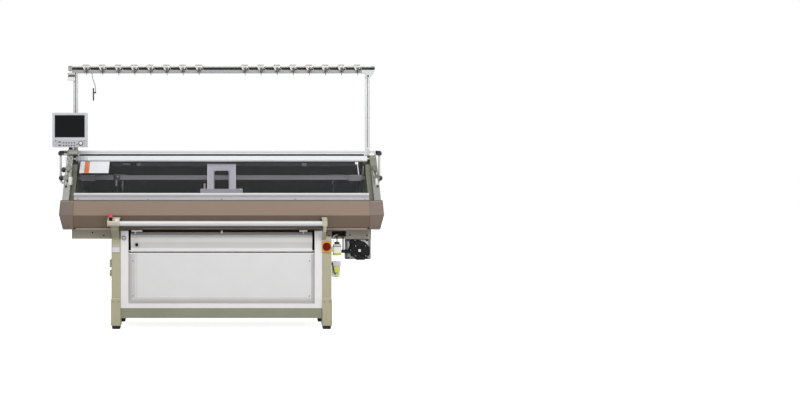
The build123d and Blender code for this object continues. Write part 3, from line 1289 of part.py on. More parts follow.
def tension_bodies():
    """Hooked bodies of the tension units, one over the bar at each place."""
    front = BED_Y - STAND_DEPTH / 2 - CLEAR
    top = STAND_Z + STAND_HEIGHT + CLEAR
    side = face([
        (front - TENSION_DEPTH, TENSION_BOTTOM), (front, TENSION_BOTTOM), (front, top),
        (front + TENSION_HOOK, top), (front + TENSION_HOOK, TENSION_TOP),
        (front - TENSION_DEPTH + 8, TENSION_TOP), (front - TENSION_DEPTH, TENSION_TOP - 8),
    ])
    bodies = []
    for x in tension_places():
        shield = face([
            (x - TENSION_WIDTH / 2, TENSION_TOP + 1), (x - TENSION_WIDTH / 2, TENSION_TOP - 14),
            (x - TENSION_FOOT / 2, TENSION_BOTTOM - 1), (x + TENSION_FOOT / 2, TENSION_BOTTOM - 1),
            (x + TENSION_WIDTH / 2, TENSION_TOP - 14), (x + TENSION_WIDTH / 2, TENSION_TOP + 1),
        ])
        body = along_x(side, x - TENSION_WIDTH / 2, x + TENSION_WIDTH / 2)
        body = body & along_y(shield, front - TENSION_DEPTH - 1, front + TENSION_HOOK + 1)
        bodies.append(body)
    return group(*bodies)


def tension_levers():
    """Sprung levers that hang below the tension units."""
    front = BED_Y - STAND_DEPTH / 2 - CLEAR - TENSION_DEPTH / 2
    levers = []
    for x in tension_places():
        arm = face([
            (x - LEVER_WIDTH / 2, TENSION_BOTTOM), (x + LEVER_WIDTH / 2, TENSION_BOTTOM),
            (x + LEVER_WIDTH, TENSION_BOTTOM - LEVER_LENGTH),
            (x + LEVER_WIDTH - 4, TENSION_BOTTOM - LEVER_LENGTH),
        ])
        levers.append(along_y(arm, front - LEVER_THICK / 2, front + LEVER_THICK / 2))
    return group(*levers)


def signal_lamp():
    """Small lamp box on the left post, with a groove round it."""
    back = BED_Y - POST_SIZE / 2
    front = back - LAMP_DEPTH
    lamp = block(LAMP_X - LAMP_WIDTH / 2, LAMP_X + LAMP_WIDTH / 2, front, back, LAMP_Z, LAMP_Z + LAMP_HEIGHT)
    lamp = fillet(lamp.edges().filter_by(Axis.Z), 6)
    groove = block(LAMP_X - LAMP_WIDTH, LAMP_X + LAMP_WIDTH, front - 1, back + 1,
                   LAMP_Z + LAMP_HEIGHT * 0.5, LAMP_Z + LAMP_HEIGHT * 0.5 + 14)
    inside = LAMP_WIDTH / 2 - LAMP_GROOVE
    core = block(LAMP_X - inside, LAMP_X + inside, front + LAMP_GROOVE, back - LAMP_GROOVE,
                 LAMP_Z, LAMP_Z + LAMP_HEIGHT)
    return lamp - (groove - core)


def smooth_tube(points, radius, share):
    """Tube along straight runs joined by the largest tangent arcs that the runs allow."""
    route = [Vector(*point) for point in points]
    radii = []
    for before, here, after in zip(route, route[1:], route[2:]):
        turn = (here - before).get_angle(after - here)
        shorter = min((here - before).length, (after - here).length)
        radii.append(share * shorter / tan(radians(turn / 2)))
    path = FilletPolyline(*route, radius=radii)
    tube = sweep(Plane(origin=path @ 0, z_dir=path % 0) * Circle(radius), path)
    print("tube", round(path.length, 1), "long, radii", [round(r) for r in radii])
    return tube


def tool_cord():
    """Short cord that the hand tool hangs on."""
    return smooth_tube(CORD_POINTS, CORD_RADIUS, CORD_TURN_SHARE)


def hand_tool():
    """Rod-shaped hand tool with the clip that its cord ends in."""
    cord_x, cord_y, cord_z = CORD_POINTS[-1]
    rod = rod_z(TOOL_X, cord_y, TOOL_TOP - TOOL_LENGTH, TOOL_TOP, TOOL_RADIUS)
    rod = chamfer(rod.edges().group_by(Axis.Z)[0], 3)
    clip = block(TOOL_X, cord_x + CORD_RADIUS + 2, cord_y - 4, cord_y + 4, cord_z - TOOL_CLIP, cord_z)
    return rod + clip


def monitor_block():
    """Cast block on the left side plate that carries the monitor."""
    shape = face([
        (BLOCK_FRONT, PLATE_TOP + 12), (PLATE_FRONT_TOP + 9, PLATE_TOP), (BLOCK_BACK, PLATE_TOP),
        (BLOCK_BACK, BLOCK_TOP_Z - 10), (BLOCK_BACK - 10, BLOCK_TOP_Z), (BLOCK_FRONT, BLOCK_TOP_Z),
    ])
    body = along_x(shape, BLOCK_X0, BLOCK_X1)
    body = chamfer(body.edges().filter_by(Axis.Z).group_by(Axis.Y)[0], 10)
    return body - rod_z(SWIVEL_X, SWIVEL_Y, PLATE_TOP + 20, BLOCK_TOP_Z + 1, 9 + RUNNING)


def monitor_neck():
    """Swivel pin, round knob, upright and the fork that the monitor tilts in."""
    z = BLOCK_TOP_Z + CLEAR
    neck = rod_z(SWIVEL_X, SWIVEL_Y, z, z + NECK_KNOB - 2, NECK_RADIUS)
    neck = chamfer(neck.edges(), 2)
    neck += rod_z(SWIVEL_X, SWIVEL_Y, PLATE_TOP + 22, z + 1, 9)
    neck += block(SWIVEL_X - NECK_WIDTH / 2, SWIVEL_X + NECK_WIDTH / 2, SWIVEL_Y - NECK_THICK / 2,
                  SWIVEL_Y + NECK_THICK / 2, z + NECK_KNOB - 3, TILT_Z + TILT_ROUND)
    ear = Pos((TILT_Y + SWIVEL_Y) / 2, TILT_Z) * Rectangle(SWIVEL_Y - TILT_Y, 2 * TILT_ROUND)
    ear += Pos(TILT_Y, TILT_Z) * Circle(TILT_ROUND)
    for x in (SWIVEL_X - NECK_WIDTH / 2, SWIVEL_X + NECK_WIDTH / 2 - TILT_EAR):
        neck += along_x(ear, x, x + TILT_EAR)
    return neck + rod_x(SWIVEL_X - NECK_WIDTH / 2, SWIVEL_X + NECK_WIDTH / 2, TILT_Y, TILT_Z, TILT_PIN)


def monitor_housing():
    """Monitor housing with its screen recess, keys and the lug at its back."""
    z1 = MONITOR_Z + MONITOR_HEIGHT
    back = MONITOR_FRONT + MONITOR_DEPTH
    shell = RectangleRounded(MONITOR_WIDTH, MONITOR_HEIGHT, MONITOR_EDGE)
    shell = Pos(MONITOR_X, (MONITOR_Z + z1) / 2) * shell
    shell = along_y(shell, MONITOR_FRONT, back)
    shell = chamfer(shell.faces().sort_by(Axis.Y)[-1].edges(), 7)
    side = SCREEN_WIDTH / 2 + CLEAR
    shell -= block(MONITOR_X - side, MONITOR_X + side,
                   MONITOR_FRONT - 1, MONITOR_FRONT + SCREEN_DEPTH + CLEAR,
                   SCREEN_Z - CLEAR, SCREEN_Z + SCREEN_HEIGHT + CLEAR)
    for column_index in range(5):
        for row in range(2):
            x = MONITOR_X - KEY_START + column_index * KEY_PITCH
            z = MONITOR_Z + KEY_ROWS[row]
            key = Pos(x, z) * Rectangle(KEY_SIZE, KEY_SIZE * 0.7)
            shell += along_y(key, MONITOR_FRONT - KEY_RISE, MONITOR_FRONT + 1)
    pad_x, pad_z = MONITOR_X + PAD_X, MONITOR_Z + PAD_Z
    shell += rod_y(pad_x, MONITOR_FRONT - KEY_RISE, MONITOR_FRONT + 1, pad_z, PAD_RADIUS)
    shell -= rod_y(pad_x, MONITOR_FRONT - KEY_RISE - 1, MONITOR_FRONT, pad_z, PAD_RADIUS * 0.58)
    lug = Pos((back - 2 + TILT_Y) / 2, TILT_Z) * Rectangle(TILT_Y - back + 2, 2 * TILT_ROUND - 4)
    lug += Pos(TILT_Y, TILT_Z) * Circle(TILT_ROUND - 2)
    lug -= Pos(TILT_Y, TILT_Z) * Circle(TILT_PIN + RUNNING)
    half = NECK_WIDTH / 2 - TILT_EAR - RUNNING
    return shell + along_x(lug, SWIVEL_X - half, SWIVEL_X + half)


def monitor_screen():
    """Glass of the screen."""
    return block(MONITOR_X - SCREEN_WIDTH / 2, MONITOR_X + SCREEN_WIDTH / 2, MONITOR_FRONT + 0.5,
                 MONITOR_FRONT + SCREEN_DEPTH + CLEAR, SCREEN_Z, SCREEN_Z + SCREEN_HEIGHT)


def side_arm(x, inner_top):
    """Bent tube beside a side plate, held at its top corner by a cast elbow with a round knob."""
    y, top, half = SIDE_TUBE_Y, SIDE_TUBE_TOP, SIDE_ELBOW / 2
    path = FilletPolyline((PLATE_OUT, y, SIDE_TUBE_LOW), (x, y, SIDE_TUBE_LOW), (x, y, top),
                          radius=[SIDE_TUBE_BEND])
    tube = sweep(Plane(origin=path @ 0, z_dir=path % 0) * Circle(SIDE_TUBE), path)
    elbow = face([
        (inner_top, top - half * 0.6), (x - half, top - half * 0.6), (x - half, top - SIDE_ELBOW),
        (x + half, top - SIDE_ELBOW), (x + half, top), (x + half * 0.4, top + half * 0.6),
        (inner_top, top + half * 0.6),
    ])
    elbow = along_y(elbow, y - half, y + half)
    front = y - half - SIDE_STEM
    stem = rod_y(x, front, y, top - half, DEVICE_STEM)
    return tube + elbow + stem + rod_y(x, front - SIDE_KNOB_DEPTH, front, top - half, SIDE_KNOB / 2)


def slope_y(z):
    """Y of the side plates' sloped front at a height."""
    share = (z - APRON_TOP) / (PLATE_TOP - 8 - APRON_TOP)
    return PLATE_FRONT_LOW + share * (PLATE_FRONT_TOP - PLATE_FRONT_LOW)


def side_yarn_gear():
    """Both bent tubes, and the side yarn tension units: disc, stem and knob on each slope."""
    solids = [other_side(side_arm(SIDE_TUBE_LEFT, -BLOCK_X0)),
              side_arm(SIDE_TUBE_RIGHT, POST_X + POST_SIZE / 2)]
    for x, z in TENSION_KNOBS:
        y = slope_y(z)
        unit = rod_y(x, y - DEVICE_OUT, y + 20, z, DEVICE_STEM)
        unit += rod_y(x, y - DEVICE_OUT - 4, y - DEVICE_OUT + DEVICE_KNOB, z, DEVICE_RADIUS)
        unit += rod_y(x, y - 14, y - 9, z, DEVICE_DISC)
        unit -= along_x(face([(PLATE_FRONT_LOW, APRON_TOP), (PLATE_FRONT_TOP, PLATE_TOP - 8),
                              (PLATE_BACK_LOW, PLATE_TOP - 8), (PLATE_BACK_LOW, APRON_TOP)]),
                        PLATE_IN, PLATE_OUT + 40)
        solids += [unit, other_side(unit)]
    return group(*solids)


def oil_reservoir():
    """Oil reservoir beside the right leg, on its bracket, with a cap."""
    x0 = OIL_X - OIL_WIDTH / 2
    y1 = OIL_FRONT + OIL_DEPTH
    bottle = block(x0, x0 + OIL_WIDTH, OIL_FRONT, y1, OIL_Z, OIL_Z + OIL_HEIGHT)
    bottle = fillet(bottle.edges().filter_by(Axis.Z), 8)
    bottle += rod_z(OIL_X, (OIL_FRONT + y1) / 2, OIL_Z + OIL_HEIGHT - 1, OIL_Z + OIL_HEIGHT + OIL_CAP, 22)
    return bottle + block(LEG_OUT, x0 + 4, OIL_FRONT + 14, y1 - 14, OIL_Z + 30, OIL_Z + 70)


def lubricator():
    """Lubricator below it: head, valve block and round bowl."""
    x0 = LUBE_X - OIL_WIDTH / 2
    y = OIL_FRONT + OIL_DEPTH / 2
    z1 = LUBE_Z + LUBE_BOWL
    z2 = z1 + LUBE_BODY
    body = rod_z(LUBE_X, y, LUBE_Z, z1, LUBE_RADIUS)
    body = chamfer(body.edges().group_by(Axis.Z)[0], 8)
    body += block(LUBE_X - 26, LUBE_X + 26, y - 24, y + 24, z1 - 1, z2)
    body += block(x0, x0 + OIL_WIDTH, y - 28, y + 28, z2 - 1, z2 + LUBE_HEAD)
    return body + block(LEG_OUT, x0 + 4, y - 16, y + 16, z2 + 4, z2 + LUBE_HEAD - 6)


def cable_section(radius):
    """Round section of a clipped cable, drawn with straight sides."""
    return RegularPolygon(radius, CABLE_SIDES)


def cables():
    """Oil hose up into the base frame's recess, and the motor's cable beside it."""
    y = OIL_FRONT + OIL_DEPTH / 2
    top = LEG_TOP + RECESS_UP + RECESS_HEIGHT / 2
    inside = BASE_FRONT + BASE_WALL + 20
    hose = FilletPolyline((OIL_X, y, OIL_Z + OIL_HEIGHT + OIL_CAP), (OIL_X, y, top), (OIL_X, inside, top),
                          radius=[CABLE_BEND])
    tube = sweep(Plane(origin=hose @ 0, z_dir=hose % 0) * cable_section(CABLE_RADIUS), hose)
    plug_y = MOTOR_PLATE_FRONT - MOTOR_LENGTH + 7
    start = (PULLEY_X - PLUG_LENGTH, plug_y, MOTOR_Z - 10)
    line = FilletPolyline(start, (start[0] - 26, plug_y, start[2]), (start[0] - 26, plug_y, top - 8),
                          (start[0] - 26, inside, top - 8), radius=[CABLE_BEND, CABLE_BEND])
    cable = sweep(Plane(origin=line @ 0, z_dir=line % 0) * cable_section(CABLE_RADIUS + 1), line)
    return group(tube, cable)


def control_cabinet():
    """Sheet cabinet on the rear cross beam, with louvres in its back."""
    z0 = BEAM_TOP
    body = block(-CABINET_HALF, CABINET_HALF, CABINET_FRONT, CABINET_BACK, z0, CABINET_TOP)
    w = CABINET_WALL
    body -= block(-CABINET_HALF + w, CABINET_HALF - w, CABINET_FRONT + w, CABINET_BACK - w,
                  z0 + w, CABINET_TOP - w)
    for side in (-1, 1):
        for index in range(LOUVRES):
            z = z0 + 90 + index * LOUVRE_PITCH
            hood = face([(CABINET_BACK - 0.5, z), (CABINET_BACK + LOUVRE_DEPTH, z),
                         (CABINET_BACK - 0.5, z + LOUVRE_PITCH * 0.6)])
            x = side * CABINET_HALF * 0.55
            body += along_x(hood, x - LOUVRE_LENGTH / 2, x + LOUVRE_LENGTH / 2)
    return body


def cover_pane():
    """Clear panel and clips as the separate solids of one node."""
    return group(cover_panel(), *cover_clips())


NODES = {
    "leg_left": leg_left,
    "leg_right": leg_right,
    "feet": feet,
    "cross_beams": cross_beams,
    "base_frame": base_frame,
    "front_trim": front_trim,
    "trim_latch": trim_latch,
    "lower_panel": lower_panel,
    "chute_panel": chute_panel,
    "front_apron": front_apron,
    "rear_apron": rear_apron,
    "end_cover_left": end_cover_left,
    "end_cover_right": end_cover_right,
    "side_plate_left": side_plate_left,
    "side_plate_right": side_plate_right,
    "top_rail": top_rail,
    "rear_hood": rear_hood,
    "cover_rails": cover_rails,
    "cover_panel": cover_pane,
    "front_needle_bed": front_needle_bed,
    "rear_needle_bed": rear_needle_bed,
    "bed_bearers": bed_bearers,
    "front_carriage": front_carriage,
    "rear_carriage": rear_carriage,
    "carriage_bridge": carriage_bridge,
    "carrier_rails": carrier_rails,
    "takedown_roller_front": lambda: takedown_roller(-1),
    "takedown_roller_rear": lambda: takedown_roller(1),
    "racking_screw": racking_screw,
    "drive_belts": drive_belts,
    "drive_pulley": drive_pulley,
    "idler_pulley": idler_pulley,
    "motor_pulley": motor_pulley,
    "motor_plate": motor_plate,
    "drive_motor": drive_motor,
    "estop_box": estop_box,
    "estop_button": estop_button,
    "bar_bracket": bar_bracket,
    "operating_bar": operating_bar,
    "switch_plate": switch_plate,
    "switch_knob": switch_knob,
    "yarn_posts": yarn_posts,
    "yarn_crossbar": yarn_crossbar,
    "tension_bodies": tension_bodies,
    "tension_levers": tension_levers,
    "signal_lamp": signal_lamp,
    "tool_cord": tool_cord,
    "hand_tool": hand_tool,
    "monitor_block": monitor_block,
    "monitor_neck": monitor_neck,
    "monitor_housing": monitor_housing,
    "monitor_screen": monitor_screen,
    "side_yarn_gear": side_yarn_gear,
    "oil_reservoir": oil_reservoir,
    "lubricator": lubricator,
    "cables": cables,
    "control_cabinet": control_cabinet,
}
for carrier_name, (carrier_x, carrier_rail) in CARRIERS.items():
    NODES[carrier_name] = lambda x=carrier_x, rail=carrier_rail: yarn_carrier(x, rail)

os.makedirs("parts", exist_ok=True)
for name, make in NODES.items():
    export_step(Pos(CENTRE_X, 0, 0) * make(), f"parts/{name}.step")
print(len(NODES), "nodes")
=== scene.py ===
"""Flat knitting machine, dressed for its photograph: camera, light, finishes and the small pieces."""

from __future__ import annotations

import logging
import math
from dataclasses import dataclass, field
from enum import Enum

import bpy
from mathutils import Matrix, Vector

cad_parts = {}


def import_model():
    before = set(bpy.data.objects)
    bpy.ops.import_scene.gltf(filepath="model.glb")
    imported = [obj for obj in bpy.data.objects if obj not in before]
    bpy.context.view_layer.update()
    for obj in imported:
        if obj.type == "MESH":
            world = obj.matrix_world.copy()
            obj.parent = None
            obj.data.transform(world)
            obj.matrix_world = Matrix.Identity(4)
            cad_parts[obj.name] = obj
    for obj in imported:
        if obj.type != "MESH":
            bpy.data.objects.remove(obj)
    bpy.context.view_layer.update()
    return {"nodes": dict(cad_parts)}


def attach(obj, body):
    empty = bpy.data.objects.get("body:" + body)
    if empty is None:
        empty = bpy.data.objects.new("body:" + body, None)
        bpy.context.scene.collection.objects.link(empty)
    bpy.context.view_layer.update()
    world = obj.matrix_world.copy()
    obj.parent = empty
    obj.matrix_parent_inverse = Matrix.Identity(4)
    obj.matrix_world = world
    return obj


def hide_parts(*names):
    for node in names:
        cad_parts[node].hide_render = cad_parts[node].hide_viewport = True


LOG = logging.getLogger("flat_knitting_machine")
CENTRE_X = 0.032
"""X of the machine's middle in the row's frame, in metres."""

LET_IN = 0.4
"""How far a small piece is let into what carries it, in millimetres."""

BLOCK_SMOOTHING, TURNED_SMOOTHING = math.radians(35), math.radians(40)
"""The angle up to which neighbouring faces shade as one, on blocks and on turned pieces."""

EDGE_STEPS = 2
"""Steps in a block's rounded edge."""

WIRE_ROUNDNESS, WIRE_STEPS = 3, 6
"""Steps in a quarter of a wire's section, and from one of its points to the next."""

ROUGHNESS_SPREAD, ROUGHNESS_FLOOR = 0.07, 0.02
"""How far the grain moves a finish's roughness each way, and the least that it may come to."""

COAT_ROUGHNESS, BUMP_STRENGTH = 0.12, 0.25
"""The gloss of a clear coat, and how strongly the grain's relief shows."""

GRAIN_STRETCH = 60
"""How many times longer than wide the lines of a brushed or drawn surface are."""

GRAIN_LEVELS, CLOUD_LEVELS = (0.3, 0.7), (0.25, 0.75)
"""The stretch of each noise that roughness or shade follows from end to end."""

GRAIN_DETAIL, CLOUD_DETAIL = 3.0, 5.0
"""How fine each noise is."""

CLOUD_LIFT = 0.5
"""How far the cloud lightens a colour, as a share of how far it darkens it."""


class Along(Enum):
    """The axis that a grain, a stroke or a turned piece runs along."""

    X = 0
    Y = 1
    Z = 2


def linear(colour: str) -> tuple[float, float, float, float]:
    """Turn an sRGB hex value into the linear colour that a socket takes.

    Args:
        colour: six hex digits, with or without a leading hash.

    Returns:
        Linear red, green and blue, and an alpha of 1.
    """
    digits = colour.lstrip("#")
    parts = [int(digits[i:i + 2], 16) / 255 for i in (0, 2, 4)]
    red, green, blue = (p / 12.92 if p <= 0.04045 else ((p + 0.055) / 1.055) ** 2.4 for p in parts)
    return red, green, blue, 1.0


def add_node(tree: bpy.types.NodeTree, kind: str, settings: dict | None = None, **links) -> bpy.types.Node:
    """Add one node with its settings and links.

    Args:
        tree: the material's or the world's node tree.
        kind: the node's type name.
        settings: attributes of the node, such as its operation.
        links: input names with spaces as underscores, or i0, i1 for an input's number; each holds a value or an
            output socket.

    Returns:
        The new node.
    """
    node = tree.nodes.new(kind)
    for name, value in (settings or {}).items():
        setattr(node, name, value)
    for name, value in links.items():
        key = int(name[1:]) if name[0] == "i" and name[1:].isdigit() else name.replace("_", " ")
        if isinstance(value, bpy.types.NodeSocket):
            tree.links.new(value, node.inputs[key])
        else:
            node.inputs[key].default_value = value
    return node


@dataclass(frozen=True)
class Patch:
    """A box-shaped stretch of a surface with another colour: a painted band of the thing's own, and in several
    finishes painted light and painted shade, such as the dark of a slot.
    """

    low: tuple[float, float, float]
    high: tuple[float, float, float]
    colour: str

    def mask(self, tree: bpy.types.NodeTree, place: bpy.types.NodeSocket) -> bpy.types.NodeSocket:
        """Give 1 inside the box and 0 outside it.

        Args:
            tree: the material's node tree.
            place: the Object coordinates, in metres.

        Returns:
            The mask's output socket.
        """
        middle = [(a + b) / 2 for a, b in zip(self.low, self.high)]
        half = [(b - a) / 2 for a, b in zip(self.low, self.high)]
        scaled = add_node(tree, "ShaderNodeMapping", {"vector_type": "POINT"}, Vector=place,
                          Scale=[1 / h for h in half], Location=[-m / h for m, h in zip(middle, half)])
        size = add_node(tree, "ShaderNodeVectorMath", {"operation": "ABSOLUTE"}, i0=scaled.outputs[0])
        split = add_node(tree, "ShaderNodeSeparateXYZ", i0=size.outputs[0])
        wide = add_node(tree, "ShaderNodeMath", {"operation": "MAXIMUM"}, i0=split.outputs[0], i1=split.outputs[1])
        far = add_node(tree, "ShaderNodeMath", {"operation": "MAXIMUM"}, i0=wide.outputs[0], i1=split.outputs[2])
        return add_node(tree, "ShaderNodeMath", {"operation": "LESS_THAN"}, i0=far.outputs[0], i1=1.0).outputs[0]


@dataclass(frozen=True)
class Finish:
    """What every finish of the machine shares: a colour, patches of other colours and a fine uneven surface."""

    name: str
    colour: str
    roughness: float = 0.5
    metallic: float = 0.0
    patches: tuple[Patch, ...] = ()
    cloud_mm: float = 180.0
    cloud: float = 0.06
    grain_mm: float = 2.0
    grain: float = 0.05
    grain_along: Along | None = None
    coat: float = 0.0
    specular: float = 0.5

    def build(self) -> bpy.types.Material:
        """Build the material once and hand the same one out after that."""
        found = bpy.data.materials.get(self.name)
        if found is not None:
            return found
        material = bpy.data.materials.new(self.name)
        material.use_nodes = True
        tree = material.node_tree
        shader = tree.nodes["Principled BSDF"]
        shader.inputs["Metallic"].default_value = self.metallic
        shader.inputs["Coat Weight"].default_value = self.coat
        shader.inputs["Coat Roughness"].default_value = COAT_ROUGHNESS
        shader.inputs["Specular IOR Level"].default_value = self.specular
        place = add_node(tree, "ShaderNodeTexCoord").outputs["Object"]
        self.dress(tree, shader, place)
        return material

    def dress(self, tree: bpy.types.NodeTree, shader: bpy.types.Node, place: bpy.types.NodeSocket) -> None:
        """Link colour, roughness and relief to the shader.

        Args:
            tree: the material's node tree.
            shader: its Principled shader.
            place: the Object coordinates, in metres.
        """
        tree.links.new(self.tint(tree, place), shader.inputs["Base Color"])
        grain = self.grain_field(tree, place)
        low = max(self.roughness - ROUGHNESS_SPREAD, ROUGHNESS_FLOOR)
        rough = add_node(tree, "ShaderNodeMapRange", None, i0=grain, i1=GRAIN_LEVELS[0], i2=GRAIN_LEVELS[1], i3=low,
                         i4=self.roughness + ROUGHNESS_SPREAD)
        tree.links.new(rough.outputs[0], shader.inputs["Roughness"])
        bump = add_node(tree, "ShaderNodeBump", None, Strength=BUMP_STRENGTH,
                        Distance=self.grain * self.grain_mm / 1000, Height=grain)
        tree.links.new(bump.outputs[0], shader.inputs["Normal"])

    def tint(self, tree: bpy.types.NodeTree, place: bpy.types.NodeSocket) -> bpy.types.NodeSocket:
        """Mix the base colour with its patches and a soft cloud of wear and handling.

        Args:
            tree: the material's node tree.
            place: the Object coordinates, in metres.

        Returns:
            The colour's output socket.
        """
        base = add_node(tree, "ShaderNodeRGB")
        base.outputs[0].default_value = linear(self.colour)
        shade = base.outputs[0]
        for patch in self.patches:
            mix = add_node(tree, "ShaderNodeMix", {"data_type": "RGBA"}, i0=patch.mask(tree, place), i6=shade,
                           i7=linear(patch.colour))
            shade = mix.outputs[2]
        cloud = add_node(tree, "ShaderNodeTexNoise", None, Vector=place, Scale=1000 / self.cloud_mm,
                         Detail=CLOUD_DETAIL)
        level = add_node(tree, "ShaderNodeMapRange", None, i0=cloud.outputs["Fac"], i1=CLOUD_LEVELS[0],
                         i2=CLOUD_LEVELS[1], i3=1 - self.cloud, i4=1 + self.cloud * CLOUD_LIFT)
        return add_node(tree, "ShaderNodeVectorMath", {"operation": "SCALE"}, i0=shade,
                        Scale=level.outputs[0]).outputs[0]

    def grain_field(self, tree: bpy.types.NodeTree, place: bpy.types.NodeSocket) -> bpy.types.NodeSocket:
        """Give the fine grain, drawn out along one axis where the surface was brushed, drawn or extruded.

        Args:
            tree: the material's node tree.
            place: the Object coordinates, in metres.

        Returns:
            The grain's output socket, from 0 to 1.
        """
        scale = [1000 / self.grain_mm] * 3
        if self.grain_along is not None:
            scale[self.grain_along.value] /= GRAIN_STRETCH
        stretched = add_node(tree, "ShaderNodeMapping", None, Vector=place, Scale=scale)
        noise = add_node(tree, "ShaderNodeTexNoise", None, Vector=stretched.outputs[0], Scale=1.0,
                         Detail=GRAIN_DETAIL)
        return noise.outputs["Fac"]


@dataclass(frozen=True)
class ClearSheet(Finish):
    """Clear polycarbonate sheet: it lets most light straight through and keeps a faint gloss."""

    tint_colour: str = "#fbfbfb"
    haze: float = 0.004
    scratches: tuple[float, float] = (0.35, 0.65)
    gloss: tuple[float, float] = (0.03, 0.14)
    index: float = 1.25
    mirror: float = 0.25

    def dress(self, tree: bpy.types.NodeTree, shader: bpy.types.Node, place: bpy.types.NodeSocket) -> None:
        """Mix a tinted see-through shader with a thin gloss that grows at grazing angles.

        Args:
            tree: the material's node tree.
            shader: its Principled shader.
            place: the Object coordinates, in metres.
        """
        shader.inputs["Base Color"].default_value = linear(self.colour)
        rough = add_node(tree, "ShaderNodeMapRange", None, i0=self.grain_field(tree, place), i1=self.scratches[0],
                         i2=self.scratches[1], i3=self.gloss[0], i4=self.gloss[1])
        tree.links.new(rough.outputs[0], shader.inputs["Roughness"])
        through = add_node(tree, "ShaderNodeBsdfTransparent", None, Color=linear(self.tint_colour))
        edge = add_node(tree, "ShaderNodeFresnel", None, IOR=self.index)
        weight = add_node(tree, "ShaderNodeMath", {"operation": "MULTIPLY_ADD"}, i0=edge.outputs[0],
                          i1=self.mirror, i2=self.haze)
        mix = add_node(tree, "ShaderNodeMixShader", None, i0=weight.outputs[0], i1=through.outputs[0],
                       i2=shader.outputs[0])
        tree.links.new(mix.outputs[0], tree.nodes["Material Output"].inputs[0])


